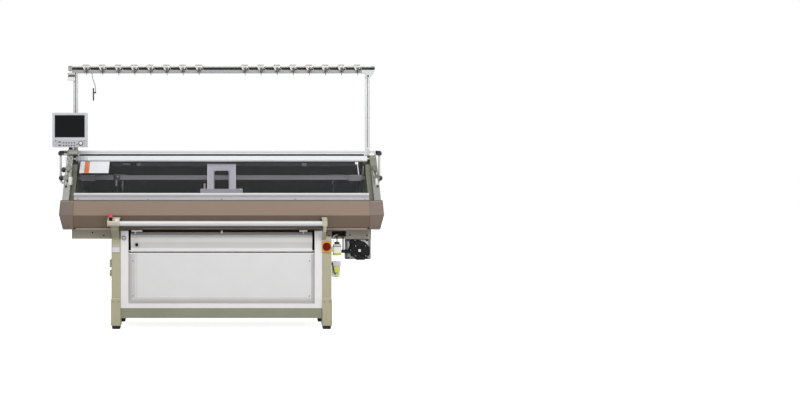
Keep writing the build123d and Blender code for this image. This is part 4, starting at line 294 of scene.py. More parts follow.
class Bench:
    """The workbench: adds a primitive, shapes it and leaves it with its place in its mesh."""

    @staticmethod
    def clear() -> None:
        """Leave nothing selected."""
        bpy.ops.object.select_all(action="DESELECT")

    @staticmethod
    def settle(name: str) -> bpy.types.Object:
        """Name the active object, apply its place and give it back with its origin at the world's.

        Args:
            name: the piece's name.

        Returns:
            The active object.
        """
        piece = bpy.context.object
        piece.name = piece.data.name = name
        bpy.ops.object.transform_apply(location=True, rotation=True, scale=True)
        return piece

    @classmethod
    def block(cls, name: str, low: tuple[float, float, float], high: tuple[float, float, float],
              edge: float = 0.001) -> bpy.types.Object:
        """Model a block with softened edges.

        Args:
            name: the piece's name.
            low: its lowest corner.
            high: its highest corner.
            edge: how far its edges are rounded.

        Returns:
            The block.
        """
        cls.clear()
        middle = [(a + b) / 2 for a, b in zip(low, high)]
        bpy.ops.mesh.primitive_cube_add(size=1, location=middle, scale=[b - a for a, b in zip(low, high)])
        piece = cls.settle(name)
        bpy.ops.object.mode_set(mode="EDIT")
        bpy.ops.mesh.select_all(action="SELECT")
        bpy.ops.mesh.bevel(offset=edge, segments=EDGE_STEPS, affect="EDGES", clamp_overlap=True)
        bpy.ops.object.mode_set(mode="OBJECT")
        bpy.ops.object.shade_smooth_by_angle(angle=BLOCK_SMOOTHING)
        return piece

    @classmethod
    def turned(cls, name: str, foot: Vector, way: Vector, profile: list[tuple[float, float]],
               sides: int = 28) -> bpy.types.Object:
        """Model a turned piece by growing a disc ring by ring, as on a lathe.

        Args:
            name: the piece's name.
            foot: the middle of its foot.
            way: the direction that it grows in.
            profile: radius and height of each ring, from the foot up; the last ring is closed.
            sides: how many sides each ring has.

        Returns:
            The turned piece.
        """
        cls.clear()
        way = Vector(way).normalized()
        turn = way.to_track_quat("Z", "Y").to_matrix().to_4x4()
        first = profile[0]
        bpy.ops.mesh.primitive_circle_add(vertices=sides, radius=first[0], fill_type="NGON")
        piece = bpy.context.object
        piece.name = piece.data.name = name
        bpy.ops.object.mode_set(mode="EDIT")
        bpy.ops.mesh.select_all(action="SELECT")
        radius, height = first
        if height:
            bpy.ops.transform.translate(value=(0, 0, height))
        for wider, higher in profile[1:]:
            bpy.ops.mesh.extrude_region_move(TRANSFORM_OT_translate={"value": (0, 0, higher - height)})
            bpy.ops.transform.resize(value=(wider / radius, wider / radius, 1), center_override=(0, 0, higher))
            radius, height = wider, higher
        bpy.ops.mesh.select_all(action="SELECT")
        bpy.ops.mesh.normals_make_consistent(inside=False)
        bpy.ops.object.mode_set(mode="OBJECT")
        bpy.ops.object.shade_smooth_by_angle(angle=TURNED_SMOOTHING)
        piece.matrix_world = Matrix.Translation(foot) @ turn
        return cls.settle(name)

    @classmethod
    def wire(cls, name: str, points: list[tuple[float, float, float]], radius: float,
             smooth: bool = True) -> bpy.types.Object:
        """Bend a wire along points and close its ends.

        Args:
            name: the piece's name.
            points: the points that it follows, in metres.
            radius: the wire's radius.
            smooth: True for a flowing bend, False for straight runs.

        Returns:
            The wire as a mesh.
        """
        cls.clear()
        bpy.ops.curve.primitive_nurbs_path_add()
        piece = bpy.context.object
        piece.name = name
        spline = piece.data.splines[0]
        if len(points) > len(spline.points):
            spline.points.add(len(points) - len(spline.points))
        else:
            piece.data.splines.remove(spline)
            spline = piece.data.splines.new("NURBS")
            spline.points.add(len(points) - 1)
        for point, target in zip(spline.points, points):
            point.co = (*target, 1.0)
        spline.order_u = 3 if smooth else 2
        spline.use_endpoint_u = True
        piece.data.dimensions = "3D"
        piece.data.bevel_depth = radius
        piece.data.bevel_resolution = WIRE_ROUNDNESS
        piece.data.use_fill_caps = True
        piece.data.resolution_u = WIRE_STEPS
        bpy.ops.object.convert(target="MESH")
        return cls.settle(name)

    @staticmethod
    def copy(piece: bpy.types.Object, name: str, shift: tuple[float, float, float]) -> bpy.types.Object:
        """Copy a piece with a mesh of its own.

        Args:
            piece: the piece to copy.
            name: the copy's name.
            shift: how far the copy lies from it.

        Returns:
            The copy.
        """
        Bench.clear()
        twin = piece.copy()
        twin.data = piece.data.copy()
        twin.name = twin.data.name = name
        bpy.context.collection.objects.link(twin)
        twin.select_set(True)
        bpy.context.view_layer.objects.active = twin
        twin.location = shift
        bpy.ops.object.transform_apply(location=True, rotation=True, scale=True)
        return twin

    @classmethod
    def rim(cls, name: str, middle: Vector, size: tuple[float, float], width: float,
            depth: float) -> bpy.types.Object:
        """Model a flat rim that faces the front: an inset sheet without its middle, drawn out to a depth.

        Args:
            name: the piece's name.
            middle: the middle of its back.
            size: its outer width and height.
            width: the width of its strip.
            depth: how far it stands out.

        Returns:
            The rim.
        """
        cls.clear()
        bpy.ops.mesh.primitive_plane_add(size=1, location=middle, rotation=(math.pi / 2, 0, 0))
        bpy.ops.transform.resize(value=(size[0], 1, size[1]))
        piece = cls.settle(name)
        bpy.ops.object.mode_set(mode="EDIT")
        bpy.ops.mesh.select_all(action="SELECT")
        bpy.ops.mesh.inset(thickness=width)
        bpy.ops.mesh.delete(type="FACE")
        bpy.ops.mesh.select_all(action="SELECT")
        bpy.ops.mesh.extrude_region_move(TRANSFORM_OT_translate={"value": (0, -depth, 0)})
        bpy.ops.mesh.select_all(action="SELECT")
        bpy.ops.mesh.normals_make_consistent(inside=False)
        bpy.ops.object.mode_set(mode="OBJECT")
        return piece

    @staticmethod
    def lean(piece: bpy.types.Object, pivot: Vector, degrees: float) -> bpy.types.Object:
        """Lean a piece about a line along X.

        Args:
            piece: the piece.
            pivot: a point of the line.
            degrees: how far it turns.

        Returns:
            The piece.
        """
        Bench.clear()
        piece.select_set(True)
        bpy.context.view_layer.objects.active = piece
        turn = Matrix.Rotation(math.radians(degrees), 4, "X")
        piece.matrix_world = Matrix.Translation(pivot) @ turn @ Matrix.Translation(-pivot)
        bpy.ops.object.transform_apply(location=True, rotation=True, scale=True)
        return piece

    @staticmethod
    def fit(piece: bpy.types.Object, finish: Finish, body: str = "frame") -> bpy.types.Object:
        """Give a piece its finish and the body that it rides on.

        Args:
            piece: the piece.
            finish: its finish.
            body: the body's name.

        Returns:
            The piece.
        """
        piece.data.materials.clear()
        piece.data.materials.append(finish.build())
        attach(piece, body)
        LOG.info("piece %s on %s", piece.name, body)
        return piece


def at(x: float, y: float, z: float) -> Vector:
    """Give a place in metres from millimetres off the machine's middle."""
    return Vector((x / 1000 + CENTRE_X, y / 1000, z / 1000))


FRONT, REAR, UP = Vector((0, -1, 0)), Vector((0, 1, 0)), Vector((0, 0, 1))
LEFTWARD, RIGHTWARD = Vector((-1, 0, 0)), Vector((1, 0, 0))
Reach = tuple[float, float]
Spot = tuple[float, float, float]


def slab(name: str, x: Reach, y: Reach, z: Reach, edge: float = 0.8) -> bpy.types.Object:
    """Model a block between two corners.

    Args:
        name: the piece's name.
        x, y, z: its reach along each axis, in millimetres off the machine's middle.
        edge: how far its edges are rounded, in millimetres.

    Returns:
        The block.
    """
    return Bench.block(name, at(x[0], y[0], z[0]), at(x[1], y[1], z[1]), edge / 1000)


def lathe(name: str, foot: Spot, way: Vector, profile: list[Reach], sides: int = 24) -> bpy.types.Object:
    """Turn a piece whose foot and profile are in millimetres.

    Args:
        name: the piece's name.
        foot: the middle of its foot.
        way: the direction that it grows in.
        profile: radius and height of each ring.
        sides: how many sides each ring has.

    Returns:
        The turned piece.
    """
    return Bench.turned(name, at(*foot), way, [(r / 1000, h / 1000) for r, h in profile], sides)


def bend(name: str, points: list[Spot], radius: float, smooth: bool = True) -> bpy.types.Object:
    """Bend a wire whose points and radius are in millimetres.

    Args:
        name: the piece's name.
        points: the points that it follows.
        radius: the wire's radius.
        smooth: True for a flowing bend.

    Returns:
        The wire.
    """
    return Bench.wire(name, [tuple(at(*point)) for point in points], radius / 1000, smooth)


def ring_points(middle: Spot, radius: float, flat: Along, steps: int = 12) -> list[Spot]:
    """Give points around a ring.

    Args:
        middle: the ring's middle.
        radius: its radius.
        flat: the axis that the ring lies across.
        steps: how many points it has.

    Returns:
        The points, with the first one again at the end.
    """
    points = []
    for step in range(steps + 1):
        turn = 2 * math.pi * step / steps
        one, two = radius * math.cos(turn), radius * math.sin(turn)
        offset = {Along.X: (0, one, two), Along.Y: (one, 0, two), Along.Z: (one, two, 0)}[flat]
        points.append(tuple(m + o for m, o in zip(middle, offset)))
    return points


def patch(x: Reach, y: Reach, z: Reach, colour: str) -> Patch:
    """Give a patch between two corners.

    Args:
        x, y, z: its reach along each axis, in millimetres off the machine's middle.
        colour: its sRGB hex value.

    Returns:
        The patch.
    """
    return Patch(tuple(at(x[0], y[0], z[0])), tuple(at(x[1], y[1], z[1])), colour)


def bands(x: Reach, y: Reach, *steps: tuple[float, float, str]) -> tuple[Patch, ...]:
    """Give patches one above the other.

    Args:
        x, y: the reach that they share, in millimetres off the machine's middle.
        steps: the lowest and highest Z of each, and its sRGB hex value.

    Returns:
        The patches.
    """
    return tuple(patch(x, y, (low, high), colour) for low, high, colour in steps)


def columns(y: Reach, z: Reach, *steps: tuple[float, float, str]) -> tuple[Patch, ...]:
    """Give patches side by side.

    Args:
        y, z: the reach that they share, in millimetres off the machine's middle.
        steps: the left and right X of each, and its sRGB hex value.

    Returns:
        The patches.
    """
    return tuple(patch((left, right), y, z, colour) for left, right, colour in steps)


@dataclass(frozen=True)
class HoodFinish(Finish):
    """Folded sheet that is enamelled outside and matt black on the side that faces the needle beds, that side
    darkened further towards its foot by painted shade.
    """

    inside: str = "#20201e"
    # painted shade: the inner side darkens to this colour towards its foot
    deep: str = "#11100e"
    fade: tuple[float, float] = (1.12, 1.33)
    turned_in: float = -0.05
    strip: Patch = patch((-1000, 1190), (130, 139), (1342.5, 1371), "#2a2a2e")

    def tint(self, tree: bpy.types.NodeTree, place: bpy.types.NodeSocket) -> bpy.types.NodeSocket:
        """Turn the enamel dark where the sheet faces forward, and darker still towards its foot as painted shade.

        Args:
            tree: the material's node tree.
            place: the Object coordinates, in metres.

        Returns:
            The colour's output socket.
        """
        outside = Finish.tint(self, tree, place)
        facing = add_node(tree, "ShaderNodeSeparateXYZ", i0=add_node(tree, "ShaderNodeTexCoord").outputs["Normal"])
        inner = add_node(tree, "ShaderNodeMath", {"operation": "LESS_THAN"}, i0=facing.outputs[1],
                         i1=self.turned_in)
        height = add_node(tree, "ShaderNodeSeparateXYZ", i0=place).outputs[2]
        level = add_node(tree, "ShaderNodeMapRange", None, i0=height, i1=self.fade[0], i2=self.fade[1],
                         i3=0.0, i4=1.0)
        dark = add_node(tree, "ShaderNodeMix", {"data_type": "RGBA"}, i0=level.outputs[0],
                        i6=linear(self.deep), i7=linear(self.inside))
        shade = add_node(tree, "ShaderNodeMix", {"data_type": "RGBA"}, i0=inner.outputs[0], i6=outside,
                         i7=dark.outputs[2])
        return add_node(tree, "ShaderNodeMix", {"data_type": "RGBA"}, i0=self.strip.mask(tree, place),
                        i6=shade.outputs[2], i7=linear(self.strip.colour)).outputs[2]


# Finishes, each named for the real one and with what it gives the eye.

OLIVE_ENAMEL = Finish("baked_enamel_olive_grey", "#a39e90", 0.5, cloud=0.07, grain_mm=1.8, grain=0.07,
                      patches=(
                          # taupe like the apron's edge, and lightened as painted light against the shade under the
                          # apron
                          patch((-1208, 1208), (-206, -203), (813, 826), "#dccabd"),
                          patch((800, 1212), (-206, -203), (737, 812), "#8f877e"),
                      ))
# Baked enamel on the welded frame: darker than the legs, with a pale taupe strip along its top that is painted light
# against the shade under the apron, and a dim right end.
"""Baked enamel on the welded frame: darker than the legs, with a pale strip on top and a dim right end."""

BEAM_ENAMEL = Finish("baked_enamel_beam", "#888a76", 0.52, cloud=0.07, grain_mm=1.8, grain=0.07)
"""Baked enamel on the cross beams and the bearers."""

WHITE_POWDER = Finish("powder_coat_white", "#e3e1e1", 0.42, cloud=0.025, grain_mm=1.2, grain=0.05)
"""White powder coat on folded sheet: clean, with a fine peel."""

PANEL_POWDER = Finish("powder_coat_light_grey", "#d7d7d7", 0.44, cloud=0.03, grain_mm=1.2, grain=0.03, patches=(
    # painted shade along the panel's foot and sides, where the trim stands in front of it
    *bands((-764, 764), (-258, -255), (240, 256, "#c8c6c6"), (226, 240, "#bbb9b8"), (196, 226, "#b0aeae")),
    *columns((-258, -255), (256, 620), (-715, -692, "#cecdcd"), (-740, -715, "#c2c0c0")),
    *columns((-258, -255), (240, 620), (-766, -740, "#b2b0b0"), (738, 766, "#bebdbd")),
))
# Light grey powder coat of the recessed lower panel, with painted shade along the trim that frames it, at its sides
# and at its foot.
"""Light grey powder coat of the recessed lower panel, dimmer along the trim that frames it."""

CHUTE_POWDER = Finish("powder_coat_chute_grey", "#c9c7c7", 0.38, cloud=0.03, grain_mm=1.2, grain=0.03, patches=bands(
    # painted light and shade: one band for each fold of the chute panel
    (-760, 760), (-320, -200), (750, 795, "#bbb9b9"), (713, 750, "#d7d5d5"), (664, 713, "#c9c7c7"),
    (635, 664, "#e1e1e1")))
# Powder coat of the chute panel: a little glossier, with painted light and shade on each of its folds, darkest on the
# top fold under the apron.
"""Powder coat of the chute panel: a little glossier, with each of its folds in its own shade."""

TAUPE_ENAMEL = Finish("baked_enamel_taupe", "#93847a", 0.4, cloud=0.05, grain_mm=1.4, grain=0.05, coat=0.15)
"""Taupe enamel of the covers, with a soft sheen along the folds."""

BLACK_RUBBER = Finish("moulded_rubber_black", "#191919", 0.75, cloud=0.15, grain_mm=1.5, grain=0.12)
"""Moulded rubber: deep black with a dull bloom."""

BLACK_NYLON = Finish("moulded_nylon_black", "#1d1d1e", 0.45, cloud=0.1, grain_mm=0.9, grain=0.08)
"""Moulded black nylon of knobs and clips, with a fine spark-eroded skin."""

DARK_STEEL = Finish("oiled_ground_steel", "#4b4a49", 0.36, 0.85, cloud=0.18, grain_mm=0.8, grain=0.06,
                    grain_along=Along.X)
"""Ground steel with an oil film, dark between the bright needle walls."""

GREY_CAST = Finish("cast_and_painted_grey", "#a3a49b", 0.5, cloud=0.06, grain_mm=2.2, grain=0.12)
"""Grey paint over a cast or cut plate, slightly rough."""

ALUMINIUM = Finish("anodised_aluminium_drawn", "#c9cbce", 0.38, 0.2, cloud=0.03, grain_mm=0.9, grain=0.012,
                   grain_along=Along.X)
"""Drawn and anodised aluminium: pale, with fine lines along its length."""

UPRIGHT_ALUMINIUM = Finish(
    "anodised_aluminium_upright", "#cfd0d2", 0.4, 0.25, cloud=0.03, grain_mm=0.9, grain=0.012, grain_along=Along.Z,
    patches=columns((26, 34), (1500, 2130), (-1241, -1231, "#97989a"), (1231, 1241, "#97989a"),
                    (-1255, -1249.5, "#a3a4a6"), (1249.5, 1255, "#a3a4a6")))
"""The same anodised section, standing, with its slot and its outer edge in shade."""

CARRIAGE_ALUMINIUM = Finish("machined_aluminium_plate", "#a9aaaf", 0.34, 0.6, cloud=0.06, grain_mm=0.8,
                            grain=0.05, grain_along=Along.Z)
"""Machined aluminium plate of the carriage, satin from fine cutter marks."""

BRIGHT_STEEL = Finish("nickel_plated_steel", "#c7c5c0", 0.2, 1.0, cloud=0.06, grain_mm=0.7, grain=0.03)
"""Nickel-plated steel of screws, pulleys and the latch: small crisp glints."""

CREAM_ABS = Finish("moulded_abs_cream", "#b4b19a", 0.42, cloud=0.03, grain_mm=0.9, grain=0.03, patches=(
    # painted shade on the stop box's arm, darkest just under the box
    *bands((-930, -822), (-455, -150), (700, 752, "#a9a688"), (752, 836, "#8d8b76"), (836, 850, "#7d7a6a")),
    *bands((-926, -822), (-455, -440), (850, 862, "#9a9084"), (882, 893, "#cfc9ae"), (893, 926, "#d6d2c8")),
    patch((-884, -868), (-455, -440), (893, 919), "#a8965a"),
    patch((-911, -884), (-455, -380), (893, 926), "#0f0c08"),
    # painted shade on the bracket's arm under the apron
    patch((814, 860), (-455, -150), (730, 800), "#9b9a83"),
))
# Cream ABS housing of the bar's boxes: painted shade on its arms under the apron, darkest just under the stop box,
# its front pale, a dark seat for the button.
"""Cream ABS housing of the bar's boxes: its arms dim under the apron, its front pale, a dark seat for the button."""

WHITE_ABS = Finish("moulded_abs_white", "#e6e5e0", 0.38, cloud=0.03, grain_mm=0.9, grain=0.05)
"""White ABS of the tension units."""

SCREEN_GLASS = Finish("screen_glass_dark", "#101114", 0.16, cloud=0.02, grain_mm=30.0, grain=0.0, specular=0.12)
"""Dark glass over an unlit screen: nearly black and smooth."""

CLEAR_COVER = ClearSheet("clear_polycarbonate_sheet", "#dfe3e6", 0.06, grain_mm=3.0, grain=0.0)
"""Clear sheet of the hinged cover."""

ORANGE_ENAMEL = Finish("enamel_plate_orange", "#d99a2b", 0.4, cloud=0.04, grain_mm=1.0, grain=0.04)
"""Orange enamel of the main switch's plate."""

DARK_RED_ABS = Finish("moulded_abs_dark_red", "#6c040c", 0.45, cloud=0.05, grain_mm=0.9, grain=0.03, specular=0.2)
"""Dark red ABS of the rotary knob."""

RED_ABS = Finish("moulded_abs_signal_red", "#cf2b40", 0.3, cloud=0.03, grain_mm=0.9, grain=0.03, coat=0.2,
                 patches=(patch((-925, -875), (-460, -370), (860, 921), "#17100f"),))
"""Signal red ABS of the stop button, polished."""

LIME_ABS = Finish("moulded_abs_lime_yellow", "#c8c83c", 0.4, cloud=0.04, grain_mm=0.9, grain=0.03)
"""Lime yellow of the oil valve."""

GREY_CORD = Finish("plastic_coated_cord_grey", "#7f8c90", 0.55, cloud=0.06, grain_mm=1.0, grain=0.1)
"""Grey plastic-coated cord."""

STAND_ALUMINIUM = Finish(
    "anodised_aluminium_stand_bar", "#9da1a3", 0.42, 0.1, cloud=0.03, grain_mm=0.9, grain=0.012,
    grain_along=Along.X, specular=0.25, patches=(
        # painted shade in the bar's slot
        patch((-1267, 1267), (33.6, 37), (2156.2, 2177.8), "#221808"),
        patch((-1267, 1267), (24, 34), (2178, 2189), "#c3c9c6"),
        patch((1190, 1299), (18, 34), (2082, 2156), "#c9cccd"),
        patch((-1299, -1265.8), (20, 70), (2140, 2195), "#a5a19d"),
        patch((1262, 1299), (20, 70), (2156, 2178), "#191919"),
    ))
# The yarn stand's bar: anodised, with painted shade in its slot, a grey cap and a black plug.
"""The yarn stand's bar: anodised, with a dark lining in its slot, a grey cap and a black plug."""

RAIL_POWDER = Finish("powder_coat_rail_grey", "#e2e3e5", 0.4, 0.0, cloud=0.03, grain_mm=1.1, grain=0.04,
                     patches=(patch((-1220, 1220), (20, 24), (1456, 1464), "#c4c5c7"),))
"""Pale powder coat of the fixed top rail, with a shaded groove."""

COVER_ALUMINIUM = Finish(
    "anodised_aluminium_cover_rail", "#dcdddf", 0.4, 0.05, cloud=0.03, grain_mm=0.9, grain=0.012,
    grain_along=Along.X, patches=(
        # painted shade: the hinge bar dims towards its left end under the monitor
        *columns((-12, 30), (1376, 1430), (-1232, -1206, "#8f9194"), (-1206, -1182, "#a6a8aa"),
                 (-1182, -1156, "#bbbdbf"), (-1156, -1128, "#d0d2d4")),
        # painted light along the hinge bar's lower front
        *bands((-1128, 1230), (-12, -8.6), (1387, 1414, "#f0f0f3"), (1375, 1387, "#f6f6f8")),
        # painted shade on the handle's upper and lower faces
        *bands((-1230, 1230), (-346, -300), (1099, 1119, "#cacbcd"), (1064, 1081, "#bcb8b7")),
        # painted shade in the handle's groove and along its foot
        patch((-1230, 1230), (-334, -330), (1081, 1099), "#a3a2a5"),
        patch((-1230, 1230), (-346, -342), (1057, 1064), "#8a8684"),
    ))
# Anodised hinge bar and handle: satin, with painted shade towards the bar's left end under the monitor, painted light
# along its lower front, painted shade at a different level on each face of the handle, and deeper painted shade in
# the groove to grip and along the handle's foot.
"""Anodised hinge bar and handle: satin, dim at the left end under the monitor, with a darker groove to grip."""

SIDE_CAST = Finish(
    "cast_side_plate_grey", "#9fa09b", 0.5, cloud=0.06, grain_mm=2.2, grain=0.12, patches=(
        *bands((1250, 1307), (-340, 420), (1190, 1434, "#7b7d70"), (1050, 1190, "#8b8c87")),
        *columns((-340, 420), (1050, 1440), (-1250.1, -1209, "#5f6154"), (1209, 1250.1, "#6d6f60")),
    ))
"""Grey paint of the side plates, with the olive inner faces in the shade of the hood."""

LEG_ENAMEL = Finish(
    "baked_enamel_leg", "#aaa68b", 0.46, cloud=0.05, grain_mm=1.6, grain=0.06,
    patches=bands((-910, 910), (-301, -297), (243, 252, "#d3d1bd"), (624.2, 627.8, "#7d7a66")))
"""Baked enamel on the cast legs: warm stone grey with a fine peel, a lit plinth edge and a dark joint line."""

HOOD_ENAMEL = HoodFinish("baked_enamel_hood", "#93847a", 0.4, cloud=0.05, grain_mm=1.4, grain=0.05, coat=0.1)
# Taupe hood, black within and darkened further towards its foot by painted shade, with a dim duct strip along its
# top.
"""Taupe hood, black within, with a dim duct strip along its top."""

LAMP_ABS = Finish("moulded_abs_lamp", "#e2e1dd", 0.34, cloud=0.03, grain_mm=0.9, grain=0.04, patches=bands(
    # painted shade: the dark band under the lamp's top block
    (-1300, -1236), (-8, 28), (2094, 2112, "#4b4a4d"), (2112, 2131, "#bdbbb8")))
# Lamp housing, greyer on its top block, with a dark band of painted shade on the lamp just under that block.
"""Lamp housing with its dark lens band."""

GEAR_PAINT = Finish("painted_steel_side_gear", "#cfd1cd", 0.42, 0.0, cloud=0.06, grain_mm=1.2, grain=0.06, patches=(
    *columns((-60, -13.5), (1420, 1480), (-1400, -1330, "#161617"), (1300, 1400, "#161617")),
    *columns((-320, -40), (1190, 1352), (-1340, -1240, "#8f908a"), (1240, 1340, "#6d6e66")),
))
"""Pale grey side arms with black knobs and grey tension units."""

MONITOR_ABS = Finish("moulded_abs_monitor", "#c3c4c7", 0.42, cloud=0.03, grain_mm=0.8, grain=0.06, patches=bands(
    (-1416, -1120), (-118, -114), (1497, 1561, "#b9b9be"), (1561, 1563, "#d9dadd")))
"""Light grey ABS of the monitor, a shade deeper under the keys."""

CARRIAGE_SATIN = Finish(
    "machined_aluminium_bridge", "#aca9b4", 0.42, 0.05, cloud=0.04, grain_mm=0.8, grain=0.015,
    grain_along=Along.Z, patches=(
        *columns((-130, 230), (1150, 1361), (-121, -113, "#c5c3cc"), (113, 121, "#c5c3cc")),
        *columns((-130, 230), (1150, 1310), (-68, -60, "#85838c"), (60, 68, "#85838c")),
    ))
"""Machined aluminium of the arch: satin, with vertical cutter marks, lit outer and shaded inner edges."""

RAIL_GREY = Finish("anodised_rail_grey", "#767479", 0.45, 0.1, cloud=0.08, grain_mm=0.9, grain=0.05,
                   grain_along=Along.X)
"""Grey anodised carrier rails, dim under the hood."""

MOTOR_PLATE_PAINT = Finish("painted_plate_motor", "#858688", 0.44, 0.15, cloud=0.1, grain_mm=1.6, grain=0.08)
"""Grey plate that the motor hangs on."""

CLEAR_OIL = Finish("moulded_polyethylene_oil", "#e4e4dc", 0.3, cloud=0.03, grain_mm=1.0, grain=0.04, patches=(
    *bands((900, 992), (-252, -188), (600, 622, "#b9b44a"), (672, 684, "#8f9298")),
    patch((925, 980), (-252, -188), (693, 716), "#3a3a3a"),
))
"""Milky reservoir with yellow-green oil at its foot and a dark cap."""

LUBE_PLASTIC = Finish("moulded_plastic_lubricator", "#c4c3c6", 0.36, cloud=0.05, grain_mm=1.0, grain=0.05, patches=(
    patch((900, 990), (-252, -188), (420, 471), "#c9c892"),
))
"""Lubricator: grey head, yellow valve block and a pale bowl."""

CARRIER_STEEL = Finish("blackened_steel_carrier", "#2b2a2c", 0.42, 0.4, cloud=0.15, grain_mm=0.8, grain=0.06)
"""Blackened steel of the yarn carriers."""

TAUPE_APRON = Finish("baked_enamel_apron", "#897667", 0.46, cloud=0.04, grain_mm=1.4, grain=0.04, specular=0.25,
                     # painted shade under the handle and on the apron's lower face below the fold
                     patches=bands((-1330, 1330), (-372, -300), (1054, 1060, "#2f2822"), (1044, 1054, "#887a6e"),
                                   (842, 934, "#6b5b4e"), (832, 842, "#584a3f")))
# Taupe enamel of the folded apron, with painted shade in a dark line under the handle and on the lower face below the
# fold, and a seam low down.
"""Taupe enamel of the folded apron, with a dark line under the handle and a seam low down."""

END_ENAMEL = Finish("baked_enamel_end_cover", "#75675e", 0.46, cloud=0.04, grain_mm=1.4, grain=0.04, specular=0.25,
                    patches=(
                        # painted light on the right end cover's upper face
                        patch((1200, 1330), (-372, 445), (939, 1050), "#7c6d65"),
                        # painted shade in a dark line under the handle
                        *bands((-1330, 1330), (-372, -200), (1046, 1054, "#8d8278"), (1054, 1060, "#38322c")),
                        *columns((-372, 445), (815, 1060), (-1212, -1208.5, "#4f4740"), (1208.5, 1212, "#4f4740")),
                    ))
# Enamel of the end covers: a little pinker and darker than the apron, with painted light on the right cover's upper
# face, painted shade in a dark line under the handle, and a dark joint line.
"""Enamel of the end covers: a little pinker and darker than the apron, with a dark joint line."""

PALE_PLATE = Finish("printed_sheet_plain_pale", "#d9dadf", 0.4, cloud=0.02, grain_mm=0.8, grain=0.03)
"""Bare pale plate."""

ORANGE_FIELD = Finish("printed_sheet_plain_orange", "#c8642a", 0.4, cloud=0.03, grain_mm=0.8, grain=0.03)
"""Plain orange field of a plate."""

BROWN_DISC = Finish("plated_tension_disc", "#6b6058", 0.3, 0.7, cloud=0.1, grain_mm=0.6, grain=0.05)
"""Worn plated disc of a yarn tension unit."""

SHEET_WHITE = Finish("powder_coat_bracket_white", "#dedfda", 0.44, cloud=0.03, grain_mm=1.2, grain=0.03)
"""White powder coat of the small brackets and the middle tab."""

SHEET_GREY = Finish("powder_coat_guide_grey", "#98979b", 0.44, cloud=0.04, grain_mm=1.2, grain=0.03)
"""Grey of the carriers' guides and of the hood's fittings."""

SCREEN_BLACK = Finish("painted_sheet_black", "#131313", 0.6, cloud=0.08, grain_mm=1.6, grain=0.04, specular=0.2)
# Black paint of the chute knob's cap and of the hood's clamp, and of the sheet behind the chute, which is painted
# shade in the gap above the chute panel.
"""Black paint of the sheet behind the chute, of its knob's cap and of the hood's clamp."""

DARK_WIRE = Finish("blued_spring_steel", "#4a484a", 0.35, 0.5, cloud=0.08, grain_mm=0.7, grain=0.04)
"""Blued spring steel of pigtails, the rose, small knobs and screws: dark with a soft glint."""

PALE_WIRE = Finish("plated_steel_wire", "#d2d2ce", 0.3, 0.25, cloud=0.04, grain_mm=0.7, grain=0.01)
"""Plated wire of levers, eyes, feelers, the bridge's spring and the clear hose."""

KEY_RUBBER = Finish("moulded_rubber_key", "#3b3742", 0.55, cloud=0.05, grain_mm=0.9, grain=0.06)
"""Dark violet-grey rubber of the keys."""

LILAC_PLATE = Finish("printed_sheet_plain_lilac", "#d3d0dc", 0.42, cloud=0.02, grain_mm=0.9, grain=0.03)
"""Bare plate on the leg, very slightly lilac."""

MOTOR_SILVER = Finish("die_cast_motor_flange", "#a5a6a9", 0.42, 0.4, cloud=0.06, grain_mm=1.6, grain=0.1)
"""Die-cast flange of the motor, silvery and a little rough."""

MOTOR_BLACK = Finish("painted_motor_shield", "#0e0e10", 0.55, cloud=0.08, grain_mm=1.4, grain=0.05, specular=0.2)
"""Black paint of the motor, its shield, its boss and its plug."""


